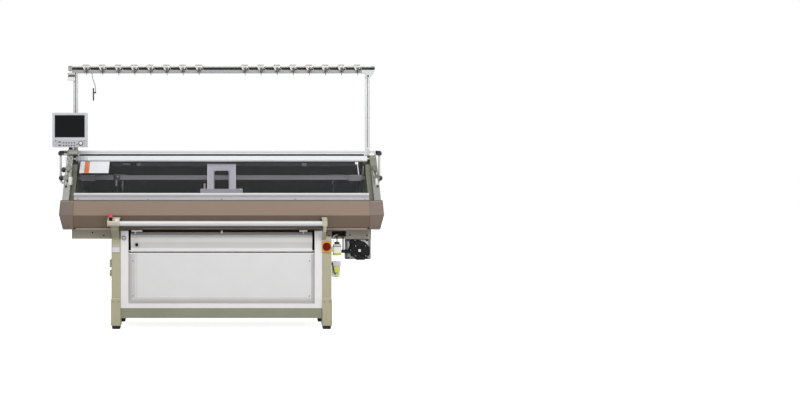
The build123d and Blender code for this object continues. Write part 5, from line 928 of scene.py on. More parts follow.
@dataclass
class Studio:
    """Pale floor, white surround and soft lamps."""

    floor_size: float = 60.0
    floor_drop: float = 0.0005
    paper: str = "#f2f2f2"
    paper_roughness: float = 0.9
    paper_specular: float = 0.1
    surround: float = 0.36
    shadow_reach: tuple[float, float] = (1.4, 3.2)
    shadow_glow: float = 0.86
    aim: Spot = (0.0, 0.0, 1.0)
    lamps: tuple[tuple[str, Spot, Reach, float], ...] = (
        ("key_softbox", (-0.9, -6.2, 5.2), (6.0, 3.0), 225.0),
        ("fill_softbox", (3.6, -5.6, 3.2), (3.4, 3.0), 120.0),
        ("top_softbox", (0.0, 0.6, 6.2), (5.0, 3.0), 96.0),
    )
    """Name, place, width and height, and power in watts of each lamp."""

    def floor(self) -> None:
        """Lay the pale floor, which keeps the machine's shadow and runs into the white surround."""
        Bench.clear()
        bpy.ops.mesh.primitive_plane_add(size=self.floor_size, location=(0, 0, -self.floor_drop))
        floor = bpy.context.object
        floor.name = "studio_floor"
        material = bpy.data.materials.new("matt_paper_sweep")
        material.use_nodes = True
        tree = material.node_tree
        shader = tree.nodes["Principled BSDF"]
        shader.inputs["Base Color"].default_value = linear(self.paper)
        shader.inputs["Roughness"].default_value = self.paper_roughness
        shader.inputs["Specular IOR Level"].default_value = self.paper_specular
        rays = add_node(tree, "ShaderNodeLightPath")
        place = add_node(tree, "ShaderNodeTexCoord").outputs["Object"]
        away = add_node(tree, "ShaderNodeVectorMath", {"operation": "LENGTH"}, i0=place)
        lift = add_node(tree, "ShaderNodeMapRange", None, i0=away.outputs[1], i1=self.shadow_reach[0],
                        i2=self.shadow_reach[1], i3=self.shadow_glow, i4=1.0)
        glow = add_node(tree, "ShaderNodeEmission", None, Color=linear("#ffffff"), Strength=lift.outputs[0])
        both = add_node(tree, "ShaderNodeAddShader", None, i0=shader.outputs[0], i1=glow.outputs[0])
        mix = add_node(tree, "ShaderNodeMixShader", None, i0=rays.outputs["Is Camera Ray"], i1=shader.outputs[0],
                       i2=both.outputs[0])
        tree.links.new(mix.outputs[0], tree.nodes["Material Output"].inputs[0])
        floor.data.materials.append(material)

    def world(self) -> None:
        """Set the surround: a plain level on the machine, white to the eye, in gloss and through clear sheet."""
        world = bpy.data.worlds.new("white_surround")
        bpy.context.scene.world = world
        world.use_nodes = True
        tree = world.node_tree
        rays = add_node(tree, "ShaderNodeLightPath")
        seen = add_node(tree, "ShaderNodeMath", {"operation": "MAXIMUM"}, i0=rays.outputs["Is Camera Ray"],
                        i1=rays.outputs["Is Transmission Ray"])
        shown = add_node(tree, "ShaderNodeMath", {"operation": "MAXIMUM"}, i0=seen.outputs[0],
                         i1=rays.outputs["Is Glossy Ray"])
        level = add_node(tree, "ShaderNodeMapRange", None, i0=shown.outputs[0], i3=self.surround, i4=1.0)
        back = tree.nodes["Background"]
        back.inputs["Color"].default_value = (1, 1, 1, 1)
        tree.links.new(level.outputs[0], back.inputs["Strength"])

    def lamp(self, name: str, place: Spot, size: Reach, power: float) -> None:
        """Hang one soft lamp that looks at the machine's middle.

        Args:
            name: the lamp's name.
            place: where it hangs.
            size: its width and height.
            power: its power in watts.
        """
        Bench.clear()
        bpy.ops.object.light_add(type="AREA", location=place)
        lamp = bpy.context.object
        lamp.name = name
        lamp.data.shape = "RECTANGLE"
        lamp.data.size, lamp.data.size_y = size
        lamp.data.energy = power
        lamp.rotation_euler = (Vector(self.aim) - Vector(place)).to_track_quat("-Z", "Y").to_euler()

    def build(self) -> None:
        """Build the floor, the surround and the lamps."""
        self.floor()
        self.world()
        for name, place, size, power in self.lamps:
            self.lamp(name, place, size, power)


@dataclass
class Eye:
    """The camera at the photograph's place: level, straight on, and well back."""

    distance: float = 10.4
    height: float = 1.245
    lens: float = 55.4
    sensor: float = 36.0
    sight: float = 100.0
    shift: tuple[float, float] = (0.2231, -0.0281)

    def build(self) -> None:
        """Place the camera and make it the scene's."""
        Bench.clear()
        bpy.ops.object.camera_add(location=(CENTRE_X, -self.distance, self.height), rotation=(math.pi / 2, 0, 0))
        camera = bpy.context.object
        camera.name = "eye"
        camera.data.lens = self.lens
        camera.data.sensor_width = self.sensor
        camera.data.shift_x, camera.data.shift_y = self.shift
        camera.data.clip_end = self.sight
        bpy.context.scene.camera = camera


@dataclass
class Fasteners:
    """A set of equal screws with a socket: the first is turned and the others are its copies."""

    name: str
    places: list[Spot]
    way: Vector
    radius: float = 4.5
    rise: float = 3.0
    finish: Finish = BRIGHT_STEEL
    body: str = "frame"

    def build(self) -> None:
        """Turn the first screw and copy it to every other place."""
        radius, rise = self.radius, self.rise
        profile = [(radius, -LET_IN), (radius, rise * 0.75), (radius * 0.9, rise), (radius * 0.55, rise),
                   (radius * 0.5, rise * 0.3)]
        first = lathe(self.name + "_0", self.places[0], self.way, profile, 16)
        Bench.fit(first, self.finish, self.body)
        for number, place in enumerate(self.places[1:], 1):
            shift = at(*place) - at(*self.places[0])
            Bench.fit(Bench.copy(first, f"{self.name}_{number}", shift), self.finish, self.body)


@dataclass
class YarnStandTrim:
    """Small pieces of the sixteen tension units and of the bar that carries them."""

    first: float = 194.0
    pitch: float = 136.0
    count: int = 8
    face: float = -1.0
    top: float = 2196.0
    foot: float = 2152.0

    def places(self) -> list[float]:
        """Give the X of each unit, left to right."""
        steps = [self.first + index * self.pitch for index in range(self.count)]
        return [-step for step in reversed(steps)] + steps

    def unit(self, x: float) -> list[tuple[bpy.types.Object, Finish]]:
        """Model the pieces of one unit.

        Args:
            x: the unit's middle.

        Returns:
            Each piece with its finish.
        """
        face, top, foot = self.face, self.top, self.foot
        pin = lathe("tension_pin", (x - 27, face - 1.4, top - 1.2), RIGHTWARD, [(2.4, 0), (2.4, 54)], 12)
        discs = lathe("tension_discs", (x + 5, face + LET_IN, foot + 13), FRONT,
                      [(4, 0), (12, 2.4), (12, 3.2), (4.5, 5), (4.5, 6), (12, 8), (12, 8.8), (4, 11), (3.4, 15)])
        knob = lathe("tension_knob", (x + 5, face - 14, foot + 13), FRONT, [(5.5, 0), (5.5, 5), (4, 6.5)], 16)
        shield = slab("tension_shield", (x - 25, x - 6), (face - 2.6, face + LET_IN), (foot + 20, top - 5), 1.2)
        pigtail = bend("tension_pigtail", [
            (x + 3, face + 1, foot + 3), (x + 12, face - 6, foot + 2), (x + 21, face - 9, foot - 6),
            (x + 17, face - 9, foot - 17), (x + 5, face - 8, foot - 15), (x + 6, face - 8, foot - 7),
            (x + 13, face - 8, foot - 8),
        ], 1.9)
        feeler = bend("tension_feeler", [
            (x + 9, face + 1, top - 15), (x + 26, face - 5, top - 20), (x + 38, face - 9, foot + 4),
            (x + 46, face - 10, foot - 4),
        ], 1.3)
        return [(pin, BLACK_NYLON), (discs, BROWN_DISC), (knob, DARK_WIRE), (shield, PALE_PLATE),
                (pigtail, DARK_WIRE), (feeler, PALE_WIRE)]

    def build(self) -> None:
        """Model the first unit's pieces, copy them along the bar, and add the bar's screws."""
        places = self.places()
        for piece, finish in self.unit(places[0]):
            name = piece.name
            piece.name = piece.data.name = name + "_0"
            Bench.fit(piece, finish)
            for number, x in enumerate(places[1:], 1):
                twin = Bench.copy(piece, f"{name}_{number}", ((x - places[0]) / 1000, 0, 0))
                Bench.fit(twin, finish)
        Fasteners("stand_cap_screw", [(-1282, 22, 2146), (-1282, 22, 2182)], FRONT, 4.0, 2.4, BLACK_NYLON).build()
        Fasteners("stand_gusset_screw", [(1240, 20, 2104)], FRONT, 7.5, 4.0, BLACK_NYLON).build()
        Fasteners("post_foot_screw", [(-1246, 27, 1482), (-1226, 27, 1482), (1226, 27, 1482), (1246, 27, 1482)],
                  FRONT, 3.4, 2.4).build()


@dataclass
class MonitorTrim:
    """Keys, round pad, lights, vents and screws of the monitor; they ride on it."""

    middle: float = -1268.0
    foot: float = 1498.5
    face: float = -115.0
    back: float = -63.0
    key_start: float = 51.0
    key_pitch: float = 22.3
    key_rows: tuple[float, float] = (15.0, 36.0)
    columns: int = 5
    vents: int = 6
    vent_pitch: float = 0.011
    light_z: float = 1553.0
    screen_z: float = 1673.5
    rim: tuple[float, float] = (0.2506, 0.1866)
    rim_strip: tuple[float, float] = (0.0028, 0.0018)
    body: str = "monitor"

    def keys(self) -> None:
        """Cap the ten small keys, and set the two wide ones and the single small one."""
        face = self.face
        first_x, first_z = self.middle - self.key_start, self.foot + self.key_rows[0]
        cap = slab("key_cap_0", (first_x - 5.6, first_x + 5.6), (face - 3.4, face - 1.2),
                   (first_z - 4.6, first_z + 4.6), 1.0)
        Bench.fit(cap, KEY_RUBBER, self.body)
        number = 0
        for column in range(self.columns):
            for row in self.key_rows:
                if number:
                    shift = Vector((column * self.key_pitch, 0, row - self.key_rows[0])) / 1000
                    Bench.fit(Bench.copy(cap, f"key_cap_{number}", shift), KEY_RUBBER, self.body)
                number += 1
        wide = slab("wide_key_0", (self.middle - 96, self.middle - 74), (face - 2.6, face + LET_IN),
                    (self.foot + 12, self.foot + 21), 1.2)
        Bench.fit(wide, KEY_RUBBER, self.body)
        Bench.fit(Bench.copy(wide, "wide_key_1", (0, 0, 0.027)), KEY_RUBBER, self.body)
        Bench.fit(slab("small_key", (self.middle + 57, self.middle + 65), (face - 2.6, face + LET_IN),
                       (self.foot + 18, self.foot + 26), 1.2), KEY_RUBBER, self.body)

    def ring(self) -> None:
        """Set the pale button and the dark gasket of the round pad."""
        x, z = self.middle + 92, self.foot + 32
        Bench.fit(lathe("pad_gasket", (x, self.face - 1.2, z), FRONT, [(21, 0), (21, 1.6), (20, 2.2)], 8),
                  KEY_RUBBER, self.body)
        Bench.fit(lathe("pad_button", (x, self.face - 3.0, z), FRONT, [(13, 0), (13, 1.4), (11.5, 2.2)], 28),
                  WHITE_ABS, self.body)

    def back_side(self) -> None:
        """Add vents, screws and the cable's gland to the back."""
        vent = slab("monitor_vent_0", (self.middle - 70, self.middle + 70), (self.back - 1, self.back + 0.6),
                    (1716, 1721), 0.5)
        Bench.fit(vent, BLACK_NYLON, self.body)
        for number in range(1, self.vents):
            twin = Bench.copy(vent, f"monitor_vent_{number}", (0, 0, -self.vent_pitch * number))
            Bench.fit(twin, BLACK_NYLON, self.body)
        corners = [(self.middle + dx, self.back, z) for dx in (-128, 128) for z in (1520, 1766)]
        Fasteners("monitor_back_screw", corners, REAR, 3.4, 2.2, BLACK_NYLON, self.body).build()
        Bench.fit(lathe("monitor_gland", (self.middle + 70, self.back - 1, 1540), REAR,
                        [(9, 0), (9, 6), (6.5, 8), (6.5, 16), (5, 17)], 16), BLACK_NYLON, self.body)

    def build(self) -> None:
        """Build every small piece of the monitor."""
        self.keys()
        self.ring()
        self.back_side()
        middle = at(self.middle, self.face + LET_IN, self.screen_z)
        Bench.fit(Bench.rim("screen_rim", middle, self.rim, *self.rim_strip), KEY_RUBBER, self.body)
        for name, x, profile, finish in (("status_light", 125, [(5, 0), (5, 1.4), (3.6, 2.2)], RED_ABS),
                                         ("light_sensor", -117, [(5, 0), (5, 1.2), (3.6, 1.8)], KEY_RUBBER)):
            Bench.fit(lathe(name, (self.middle + x, self.face + LET_IN, self.light_z), FRONT, profile, 16),
                      finish, self.body)


@dataclass
class SideGearTrim:
    """Wire levers, eyes, knobs, clamps and brackets on the side plates."""

    slope_foot: tuple[float, float] = (-330.0, 1058.0)
    slope_rise: float = 0.8689
    plate_out: float = 1303.0
    levers: tuple[tuple[str, Reach, Reach, float], ...] = (
        ("left_lever_outer", (-1296, 1384), (-1288, 1190), 6.0),
        ("left_lever_inner", (-1259, 1366), (-1270, 1166), 3.0),
        ("right_lever_outer", (1290, 1300), (1296, 1180), 4.0),
        ("right_lever_inner", (1262, 1318), (1280, 1172), 3.0),
    )
    """Name, X and Z of the upper and the lower end, and the wire's radius."""
    sides: tuple[tuple[str, Reach, Reach, float], ...] = (
        ("left", (-1344, -1292), (-1266, -1238), 1250), ("right", (1292, 1322), (1272, 1292), 1238),
    )
    """Side, reach across of its arm sleeve and of its bracket, and the bracket's top."""
    knobs: tuple[tuple[str, float, float, int], ...] = (
        ("left_knob_top", -1319, 1310, -1), ("left_knob_low", -1331, 1241, -1), ("right_knob_low", 1317, 1240, 1),
    )
    stops: tuple[tuple[str, Reach, Reach], ...] = (
        ("left_hinge_stop", (-1210.4, -1190), (1282, 1375)), ("right_hinge_stop", (1190, 1210.4), (1340, 1377)),
    )
    eyes: tuple[tuple[str, float, float, float], ...] = (
        ("left_eye_outer", -1294, 1400, 20), ("left_eye_inner", -1268, 1406, 17), ("right_eye_outer", 1282, 1432, 20),
    )
    clamps: tuple[tuple[str, float, float, Finish], ...] = (
        ("left_clamp_low", -1282, 1172, BLACK_NYLON), ("left_clamp_mid", -1266, 1216, DARK_WIRE),
        ("left_clamp_top", -1268, 1356, GREY_CAST), ("right_clamp_low", 1288, 1176, BLACK_NYLON),
        ("right_clamp_mid", 1270, 1232, GREY_CAST), ("right_clamp_top", 1266, 1318, BLACK_NYLON),
    )
    """Name, X and Z of each clamp's middle, and its finish."""

    def face_y(self, z: float) -> float:
        """Give the Y of the plates' sloping front at a height."""
        return self.slope_foot[0] + (z - self.slope_foot[1]) * self.slope_rise

    def clamp(self, name: str, x: float, z: float, finish: Finish) -> None:
        """Set one clamp block on the slope.

        Args:
            name: the piece's name.
            x: its middle.
            z: its middle.
            finish: its finish.
        """
        y = self.face_y(z)
        Bench.fit(slab(name, (x - 9, x + 9), (y - 13, y + 9), (z - 8, z + 8), 2.0), finish)

    def eye(self, name: str, x: float, z: float, radius: float) -> None:
        """Bend one wire eye with a stem that stands in the plate.

        Args:
            name: the piece's name.
            x: the eye's middle.
            z: the eye's middle.
            radius: the eye's radius.
        """
        low = z - radius
        y = min(self.face_y(low) - 10, -20)
        points = [(x, y + 26, low - 16), (x, y + 4, low - 6)]
        start = ring_points((x, y, z), radius, Along.Y)
        points += start[9:] + start[1:10]
        Bench.fit(bend(name, points, 2.0), PALE_WIRE)

    def knob(self, name: str, x: float, z: float, side: int) -> None:
        """Set one black knob on a short stem out of the plate's side.

        Args:
            name: the piece's name.
            x: its middle.
            z: its middle.
            side: -1 on the left and 1 on the right.
        """
        y = self.face_y(z) + 26
        Bench.fit(bend(name + "_stem", [(side * self.plate_out, y, z), (x, y, z)], 6.0, False), GREY_CAST)
        Bench.fit(lathe(name, (x, y + 5, z), FRONT, [(8, 0), (8, 8), (19, 13), (22.5, 20), (21, 32), (13, 38)], 28),
                  BLACK_NYLON)

    def lever(self, name: str, top: Reach, foot: Reach, radius: float) -> None:
        """Lay one long wire lever in front of the slope, its ends set in the plate.

        Args:
            name: the piece's name.
            top: X and Z of its upper end.
            foot: X and Z of its lower end.
            radius: the wire's radius.
        """
        (x0, z0), (x1, z1) = top, foot
        Bench.fit(bend(name, [
            (x0, self.face_y(z0) + 4, z0), (x0, self.face_y(z0) - 12, z0),
            ((x0 + x1) / 2, self.face_y((z0 + z1) / 2) - 16, (z0 + z1) / 2),
            (x1, self.face_y(z1) - 12, z1), (x1, self.face_y(z1) + 4, z1),
        ], radius), PALE_WIRE)

    def build(self) -> None:
        """Build the gear of both sides."""
        for lever in self.levers:
            self.lever(*lever)
        for side, sleeve, bracket, top in self.sides:
            Bench.fit(slab(f"{side}_arm_sleeve", sleeve, (-15, 15), (1430, 1474), 9.0), GEAR_PAINT)
            Bench.fit(slab(f"{side}_gear_bracket", bracket, (-230, -150), (top - 68, top), 6.0), SHEET_WHITE)
        for knob in self.knobs:
            self.knob(*knob)
        for name, x, z in self.stops:
            Bench.fit(slab(name, x, (-34, -4), z, 3.0), BLACK_NYLON)
        for eye in self.eyes:
            self.eye(*eye)
        for clamp in self.clamps:
            self.clamp(*clamp)


@dataclass
class CoverTrim:
    """Bare plate, brackets and screws of the clear cover; they ride on it."""

    pivot: tuple[float, float] = (-32.5, 1380.0)
    tilt: float = -47.66
    body: str = "cover"

    def on_sheet(self, name: str, x: Reach, down: Reach, thick: float, finish: Finish, edge: float = 0.3) -> None:
        """Lay one flat piece on the sheet's front.

        Args:
            name: the piece's name.
            x: its reach across.
            down: its reach down the slope, from the pivot.
            thick: its thickness.
            finish: its finish.
            edge: how far its edges are rounded.
        """
        y, z = self.pivot
        piece = slab(name, x, (y - thick, y + 0.1), (z - down[1], z - down[0]), edge)
        Bench.fit(Bench.lean(piece, at(0, y, z), self.tilt), finish, self.body)

    def build(self) -> None:
        """Build the cover's pieces."""
        self.on_sheet("cover_plate", (-1186, -942), (0, 146), 0.8, PALE_PLATE)
        self.on_sheet("cover_plate_band", (-1147, -1106), (1, 145), 1.2, ORANGE_FIELD)
        self.on_sheet("cover_bracket", (1122, 1148), (14, 38), 7.0, WHITE_ABS, 1.5)
        self.on_sheet("cover_strip", (1138, 1145), (36, 168), 2.0, PALE_PLATE)
        Fasteners("handle_screw", [(x, -345, 1068) for x in (-1172, -600, 0, 600, 1172)], FRONT, 4.2, 1.4,
                  BLACK_NYLON, self.body).build()


@dataclass
class CarrierTrim:
    """Blocks, rollers, guides, eyes and screws on the yarn carriers, each riding on its carrier, and the fittings
    above them.
    """

    duct_face: float = 137.7
    parks: tuple[tuple[int, float, float], ...] = ((1, -885, -9), (2, -838, 51), (3, 950, 81))
    """Number, X of the middle and Y of the front of each parked carrier."""
    fittings: tuple[tuple[str, Reach, Reach, Finish], ...] = (
        ("left_clip", (-726, -694), (1344, 1368), SHEET_GREY),
        ("left_clamp", (-778, -730), (1338, 1369), SCREEN_BLACK),
        ("left_sensor", (-846, -782), (1354, 1365), SHEET_GREY),
        ("right_clip", (686, 729), (1342, 1369), SHEET_GREY),
    )

    def dress_carrier(self, number: int, x: float, face: float) -> None:
        """Add the pieces of one carrier.

        Args:
            number: the carrier's number.
            x: its middle.
            face: the Y of its front.
        """
        body = f"yarn_carrier_{number}"
        Bench.fit(slab(f"carrier_grip_{number}", (x - 24, x + 24), (face - 5, face + LET_IN), (1232, 1272), 2.4),
                  BLACK_NYLON, body)
        Bench.fit(lathe(f"carrier_roller_{number}", (x + 9, face - 4.6, 1252), FRONT,
                        [(7, 0), (7, 3), (5.4, 4)], 20), GREY_CAST, body)
        Bench.fit(slab(f"carrier_guide_{number}", (x - 10, x + 4), (face + 3, face + 7.8), (1176, 1220), 2.0),
                  SHEET_GREY, body)
        Bench.fit(bend(f"carrier_eye_{number}", [
            (x - 8, face - 3, 1240), (x - 12, face - 7, 1222), (x - 4, face - 9, 1206),
            (x + 4, face - 7, 1196), (x - 2, face - 1, 1190), (x - 1, face + 4, 1196)], 1.5), DARK_WIRE, body)
        Fasteners(f"carrier_screw_{number}", [(x - 13, face, 1229), (x + 13, face, 1229)], FRONT, 3.2, 2.2,
                  BRIGHT_STEEL, body).build()

    def build(self) -> None:
        """Dress the three carriers, set the hood's fittings and lay the stop bar on the empty second rail."""
        for park in self.parks:
            self.dress_carrier(*park)
        for name, x, z, finish in self.fittings:
            Bench.fit(slab(f"hood_{name}", x, (self.duct_face - 6, self.duct_face + 1), z, 1.5), finish)
        Bench.fit(slab("rail_stop_bar", (899, 1042), (25, 34), (1263.6, 1271), 1.0), BLACK_NYLON)


@dataclass
class CarriageTrim:
    """Spring and foot screws of the carriage's bridge; they ride on it."""

    body: str = "carriage"
    turns: int = 7
    steps: int = 8
    middle: tuple[float, float] = (-142.0, -96.0)
    radius: float = 8.0
    foot: float = 1148.6
    rise: float = 46.0

    def build(self) -> None:
        """Build the bridge's pieces."""
        points = []
        (x, y), last = self.middle, self.turns * self.steps
        for step in range(last + 1):
            turn = 2 * math.pi * step / self.steps
            points.append((x + self.radius * math.cos(turn), y + self.radius * math.sin(turn),
                           self.foot + self.rise * step / last))
        Bench.fit(bend("bridge_spring", points, 1.6), PALE_WIRE, self.body)
        Fasteners("bridge_foot_screw", [(x, y, 1149) for x in (-160, 160) for y in (-104, -70)], UP, 6.0, 5.0,
                  BRIGHT_STEEL, self.body).build()


@dataclass
class MotorTrim:
    """Flange, shield, plug, bare plates and screws of the drive motor."""

    face: float = -150.0
    flange: float = 20.0
    middle: tuple[float, float] = (1132.0, 649.5)
    half: tuple[float, float] = (88.0, 84.0)
    boss: tuple[float, float] = (1086.0, 706.0)
    cover: tuple[float, float] = (1148.0, 640.0)
    cover_circle: float = 58.0
    cover_turns: tuple[float, ...] = (0.8, 2.36, 3.93, 5.5)

    def build(self) -> None:
        """Build the motor's pieces."""
        (x, z), (wide, high) = self.middle, self.half
        front = self.face - self.flange
        Bench.fit(slab("motor_flange", (x - wide, x + wide), (front, self.face + LET_IN),
                       (z - high, z + high), 5.0), MOTOR_SILVER)
        corners = [(x + dx, front, z + dz) for dx in (-78, 78) for dz in (-74, 74)]
        Fasteners("motor_flange_screw", corners, FRONT, 8.0, 6.0, BLACK_NYLON).build()
        Bench.fit(lathe("motor_shield", (x, front + LET_IN, z), FRONT,
                        [(80, 0), (80, 22), (74, 30), (60, 32)], 8), MOTOR_BLACK)
        Bench.fit(slab("motor_square_plate", (1128, 1149), (-247, -245.6), (633, 653), 0.4), PALE_PLATE)
        Bench.fit(slab("motor_plug", (992, 1058), (-196, -158), (619, 646), 7.0), MOTOR_BLACK)
        Bench.fit(lathe("motor_boss", (self.boss[0], front + LET_IN, self.boss[1]), FRONT,
                        [(26, 0), (26, 24), (22, 30)], 8), MOTOR_BLACK)
        Bench.fit(slab("motor_side_plate", (1068, 1082), (-203, -201.4), (634, 650), 0.4), PALE_PLATE)
        (x, z), circle = self.cover, self.cover_circle
        Fasteners("motor_cover_screw", [(x + circle * math.cos(a), -246, z + circle * math.sin(a))
                                        for a in self.cover_turns], FRONT, 4.0, 2.0, GREY_CAST).build()


@dataclass
class OilTrim:
    """Guard, valve and hose of the lubricator, and the reservoir's hose."""

    def build(self) -> None:
        """Build the lubricator's and the reservoir's pieces."""
        Bench.fit(slab("lubricator_guard", (914, 983), (-236, -204), (424, 540), 5.0), CLEAR_OIL)
        Bench.fit(slab("lubricator_valve", (927, 966), (-262, -235.6), (463, 508), 3.0), LIME_ABS)
        Bench.fit(bend("lubricator_hose", [
            (921, -235, 548), (914, -252, 534), (918, -262, 505), (926, -262, 474), (936, -250, 452),
            (940, -237, 448),
        ], 4.5), BLACK_RUBBER)
        Bench.fit(bend("reservoir_hose", [
            (926, -218, 712), (916, -236, 742), (930, -240, 766), (952, -228, 772), (962, -208, 770),
        ], 3.5), PALE_WIRE)


@dataclass
class BoxTrim:
    """Knobs, plates and screws of the bar's boxes and the main switch."""

    bar_y: float = -430.0
    knob: tuple[Reach, ...] = ((6, 0), (6, 5), (10, 7), (10, 15), (7, 17))
    knobs: tuple[tuple[str, float, float, Vector], ...] = (
        ("stop_box_knob", -824.4, 905, RIGHTWARD), ("bracket_knob", 816.4, 903, LEFTWARD),
    )
    switch: tuple[float, float] = (862.0, 678.0)

    def build(self) -> None:
        """Build the pieces of the stop box, the bracket and the switch."""
        for name, x, z, way in self.knobs:
            Bench.fit(lathe(name, (x, self.bar_y, z), way, list(self.knob), 20), BLACK_NYLON)
        Bench.fit(slab("stop_box_plate", (-862, -832), (-450, -448.6), (890, 912), 0.3), PALE_PLATE)
        Fasteners("stop_box_screw", [(-918, -449, 856), (-831, -449, 856)], FRONT, 2.8, 1.6).build()
        x, z = self.switch
        Fasteners("switch_plate_screw", [(x + dx, -306, z + dz) for dx in (-30, 30) for dz in (-39, 39)],
                  FRONT, 3.4, 1.8).build()


@dataclass
class LegTrim:
    """Bare plate, bolts, black plug caps on the frame's holes whose black is also painted shade for the dark inside
    them, the latch's rose and the end covers' feet, on the stand and the bed frame.
    """

    face: float = -300.0
    head_z: float = 722.0
    plinth_z: float = 226.0
    cover_feet: tuple[tuple[str, Reach], ...] = (("left", (-1290, -1241)), ("right", (1241, 1290)))
    # black plug caps on the frame's holes; their black is also painted shade for the dark inside the holes
    hole_shade_caps: tuple[Spot, ...] = ((-1068, -205, 789), (-975, -205, 765), (868, -205, 789), (890, -205, 765),
                               (1063, -205, 769), (1203, -205, 766))

    def build(self) -> None:
        """Build the stand's and the frame's pieces."""
        Bench.fit(slab("leg_plate", (-897, -837), (self.face - 0.9, self.face + 0.1), (632, 680), 0.3), LILAC_PLATE)
        rose = lathe("latch_rose", (-801, -289.8, 748), FRONT, [(19, 0), (19, 1.4), (17.5, 2.2)], 28)
        Bench.fit(rose, DARK_WIRE)
        for side, x in self.cover_feet:
            Bench.fit(slab(f"end_cover_foot_{side}", x, (-352, 300), (819, 836), 3.0), END_ENAMEL)
        # black plug caps whose black is also painted shade inside the frame's holes
        Fasteners("frame_hole_shade_cap", list(self.hole_shade_caps), FRONT, 7.0, 1.6, BLACK_NYLON).build()
        Fasteners("leg_head_bolt", [(x, self.face, self.head_z) for x in (-889, -843, 843, 889)], FRONT, 5.0,
                  3.4).build()
        Fasteners("plinth_bolt", [(x, self.face - 4, self.plinth_z) for x in (-888, -844, 844, 888)], FRONT, 6.0,
                  4.0, BEAM_ENAMEL).build()
        Fasteners("trim_screw", [(x, -290, z) for x in (-797, 797) for z in (236, 520)], FRONT, 4.0, 1.8,
                  WHITE_POWDER).build()


@dataclass
class PanelTrim:
    """Screws, tabs, knob cap, lip and a black sheet of painted shade behind the chute; what tilts rides on the chute
    panel.
    """

    body: str = "chute_panel"
    tab_y: Reach = (-274.0, -266.5)
    tabs: tuple[tuple[str, Reach], ...] = (("left", (-742, -652)), ("right", (640, 706)))
    stem: tuple[float, float] = (28.0, 38.0)

    def build(self) -> None:
        """Build the panels' pieces."""
        Fasteners("lower_panel_screw", [(x, -256, z) for x in (-731, 724) for z in (269, 558)], FRONT, 4.6, 2.4,
                  DARK_WIRE).build()
        for side, x in self.tabs:
            Bench.fit(slab(f"chute_tab_{side}", x, self.tab_y, (799, 813), 1.0), PALE_PLATE, self.body)
            stem = (x[0] + self.stem[0], x[0] + self.stem[1])
            Bench.fit(slab(f"chute_tab_stem_{side}", stem, (-273, -267), (780, 800), 1.0), CHUTE_POWDER, self.body)
        Bench.fit(lathe("chute_knob_cap", (-697.5, -261.5, 691), FRONT,
                        [(8, 0), (8, 8), (13.5, 11), (13.5, 19), (10, 22)], 28), SCREEN_BLACK, self.body)
        Bench.fit(slab("chute_middle_tab", (-5, 9), self.tab_y, (786, 809), 1.0), SHEET_WHITE, self.body)
        # painted shade: a black sheet that darkens the gap above the chute panel
        Bench.fit(slab("chute_gap_shade_sheet", (-828.4, 828.4), (-227, -225), (560, 812), 0.3), SCREEN_BLACK)
        Bench.fit(slab("lower_panel_lip", (-763, 763), (-258, -255.6), (615, 624.5), 0.6), WHITE_POWDER)


@dataclass
class RearTrim:
    """Door seam, locks and hinges of the control cabinet."""

    cabinet_back: float = 318.0
    lock_x: float = 40.0
    lock_z: float = 430.0
    hinge_span: float = 1.418
    hinge_rise: float = 0.34

    def build(self) -> None:
        """Build the rear pieces."""
        back = self.cabinet_back
        Bench.fit(slab("cabinet_door_seam", (-2, 2), (back - LET_IN, back + 0.5), (186, 676), 0.1), BLACK_NYLON)
        for side, x in (("left", -self.lock_x), ("right", self.lock_x)):
            Bench.fit(lathe(f"cabinet_lock_{side}", (x, back - LET_IN, self.lock_z), REAR,
                            [(16, 0), (16, 4), (13, 7), (5, 7), (5, 3)], 28), BLACK_NYLON)
        hinge = slab("cabinet_hinge_0", (-718, -700), (back - LET_IN, back + 9), (230, 290), 3.0)
        Bench.fit(hinge, BLACK_NYLON)
        span, rise = self.hinge_span, self.hinge_rise
        for number, shift in enumerate(((0, 0, rise), (span, 0, 0), (span, 0, rise)), 1):
            Bench.fit(Bench.copy(hinge, f"cabinet_hinge_{number}", shift), BLACK_NYLON)


@dataclass
class ToolCord:
    """The short grey cord that the hand tool hangs on."""

    radius: float = 0.0032
    length: float = 0.160
    roundness: int = 4
    steps: int = 16
    route: list[tuple[float, float, float]] = field(default_factory=lambda: [
        (-1.064, 0.032, 2.126), (-1.064, 0.032, 2.100), (-1.054, 0.030, 2.066),
        (-1.040, 0.029, 2.032), (-1.035, 0.030, 1.998), (-1.035, 0.030, 1.970),
    ])

    def build(self, nodes: dict[str, bpy.types.Object]) -> None:
        """Args:
            nodes: the frame's CAD nodes by name; not used.
        """
        curve = bpy.data.curves.new("tool_cord_line", "CURVE")
        curve.dimensions = "3D"
        spline = curve.splines.new("NURBS")
        spline.points.add(len(self.route) - 1)
        for point, place in zip(spline.points, self.route):
            point.co = (*place, 1.0)
        spline.order_u = 3
        spline.use_endpoint_u = True
        curve.bevel_depth = self.radius
        curve.bevel_resolution = self.roundness
        curve.resolution_u = self.steps
        curve.use_fill_caps = True
        cord = bpy.data.objects.new("tool_cord_line", curve)
        bpy.context.collection.objects.link(cord)
        Bench.fit(cord, GREY_CORD)
        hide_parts("tool_cord")


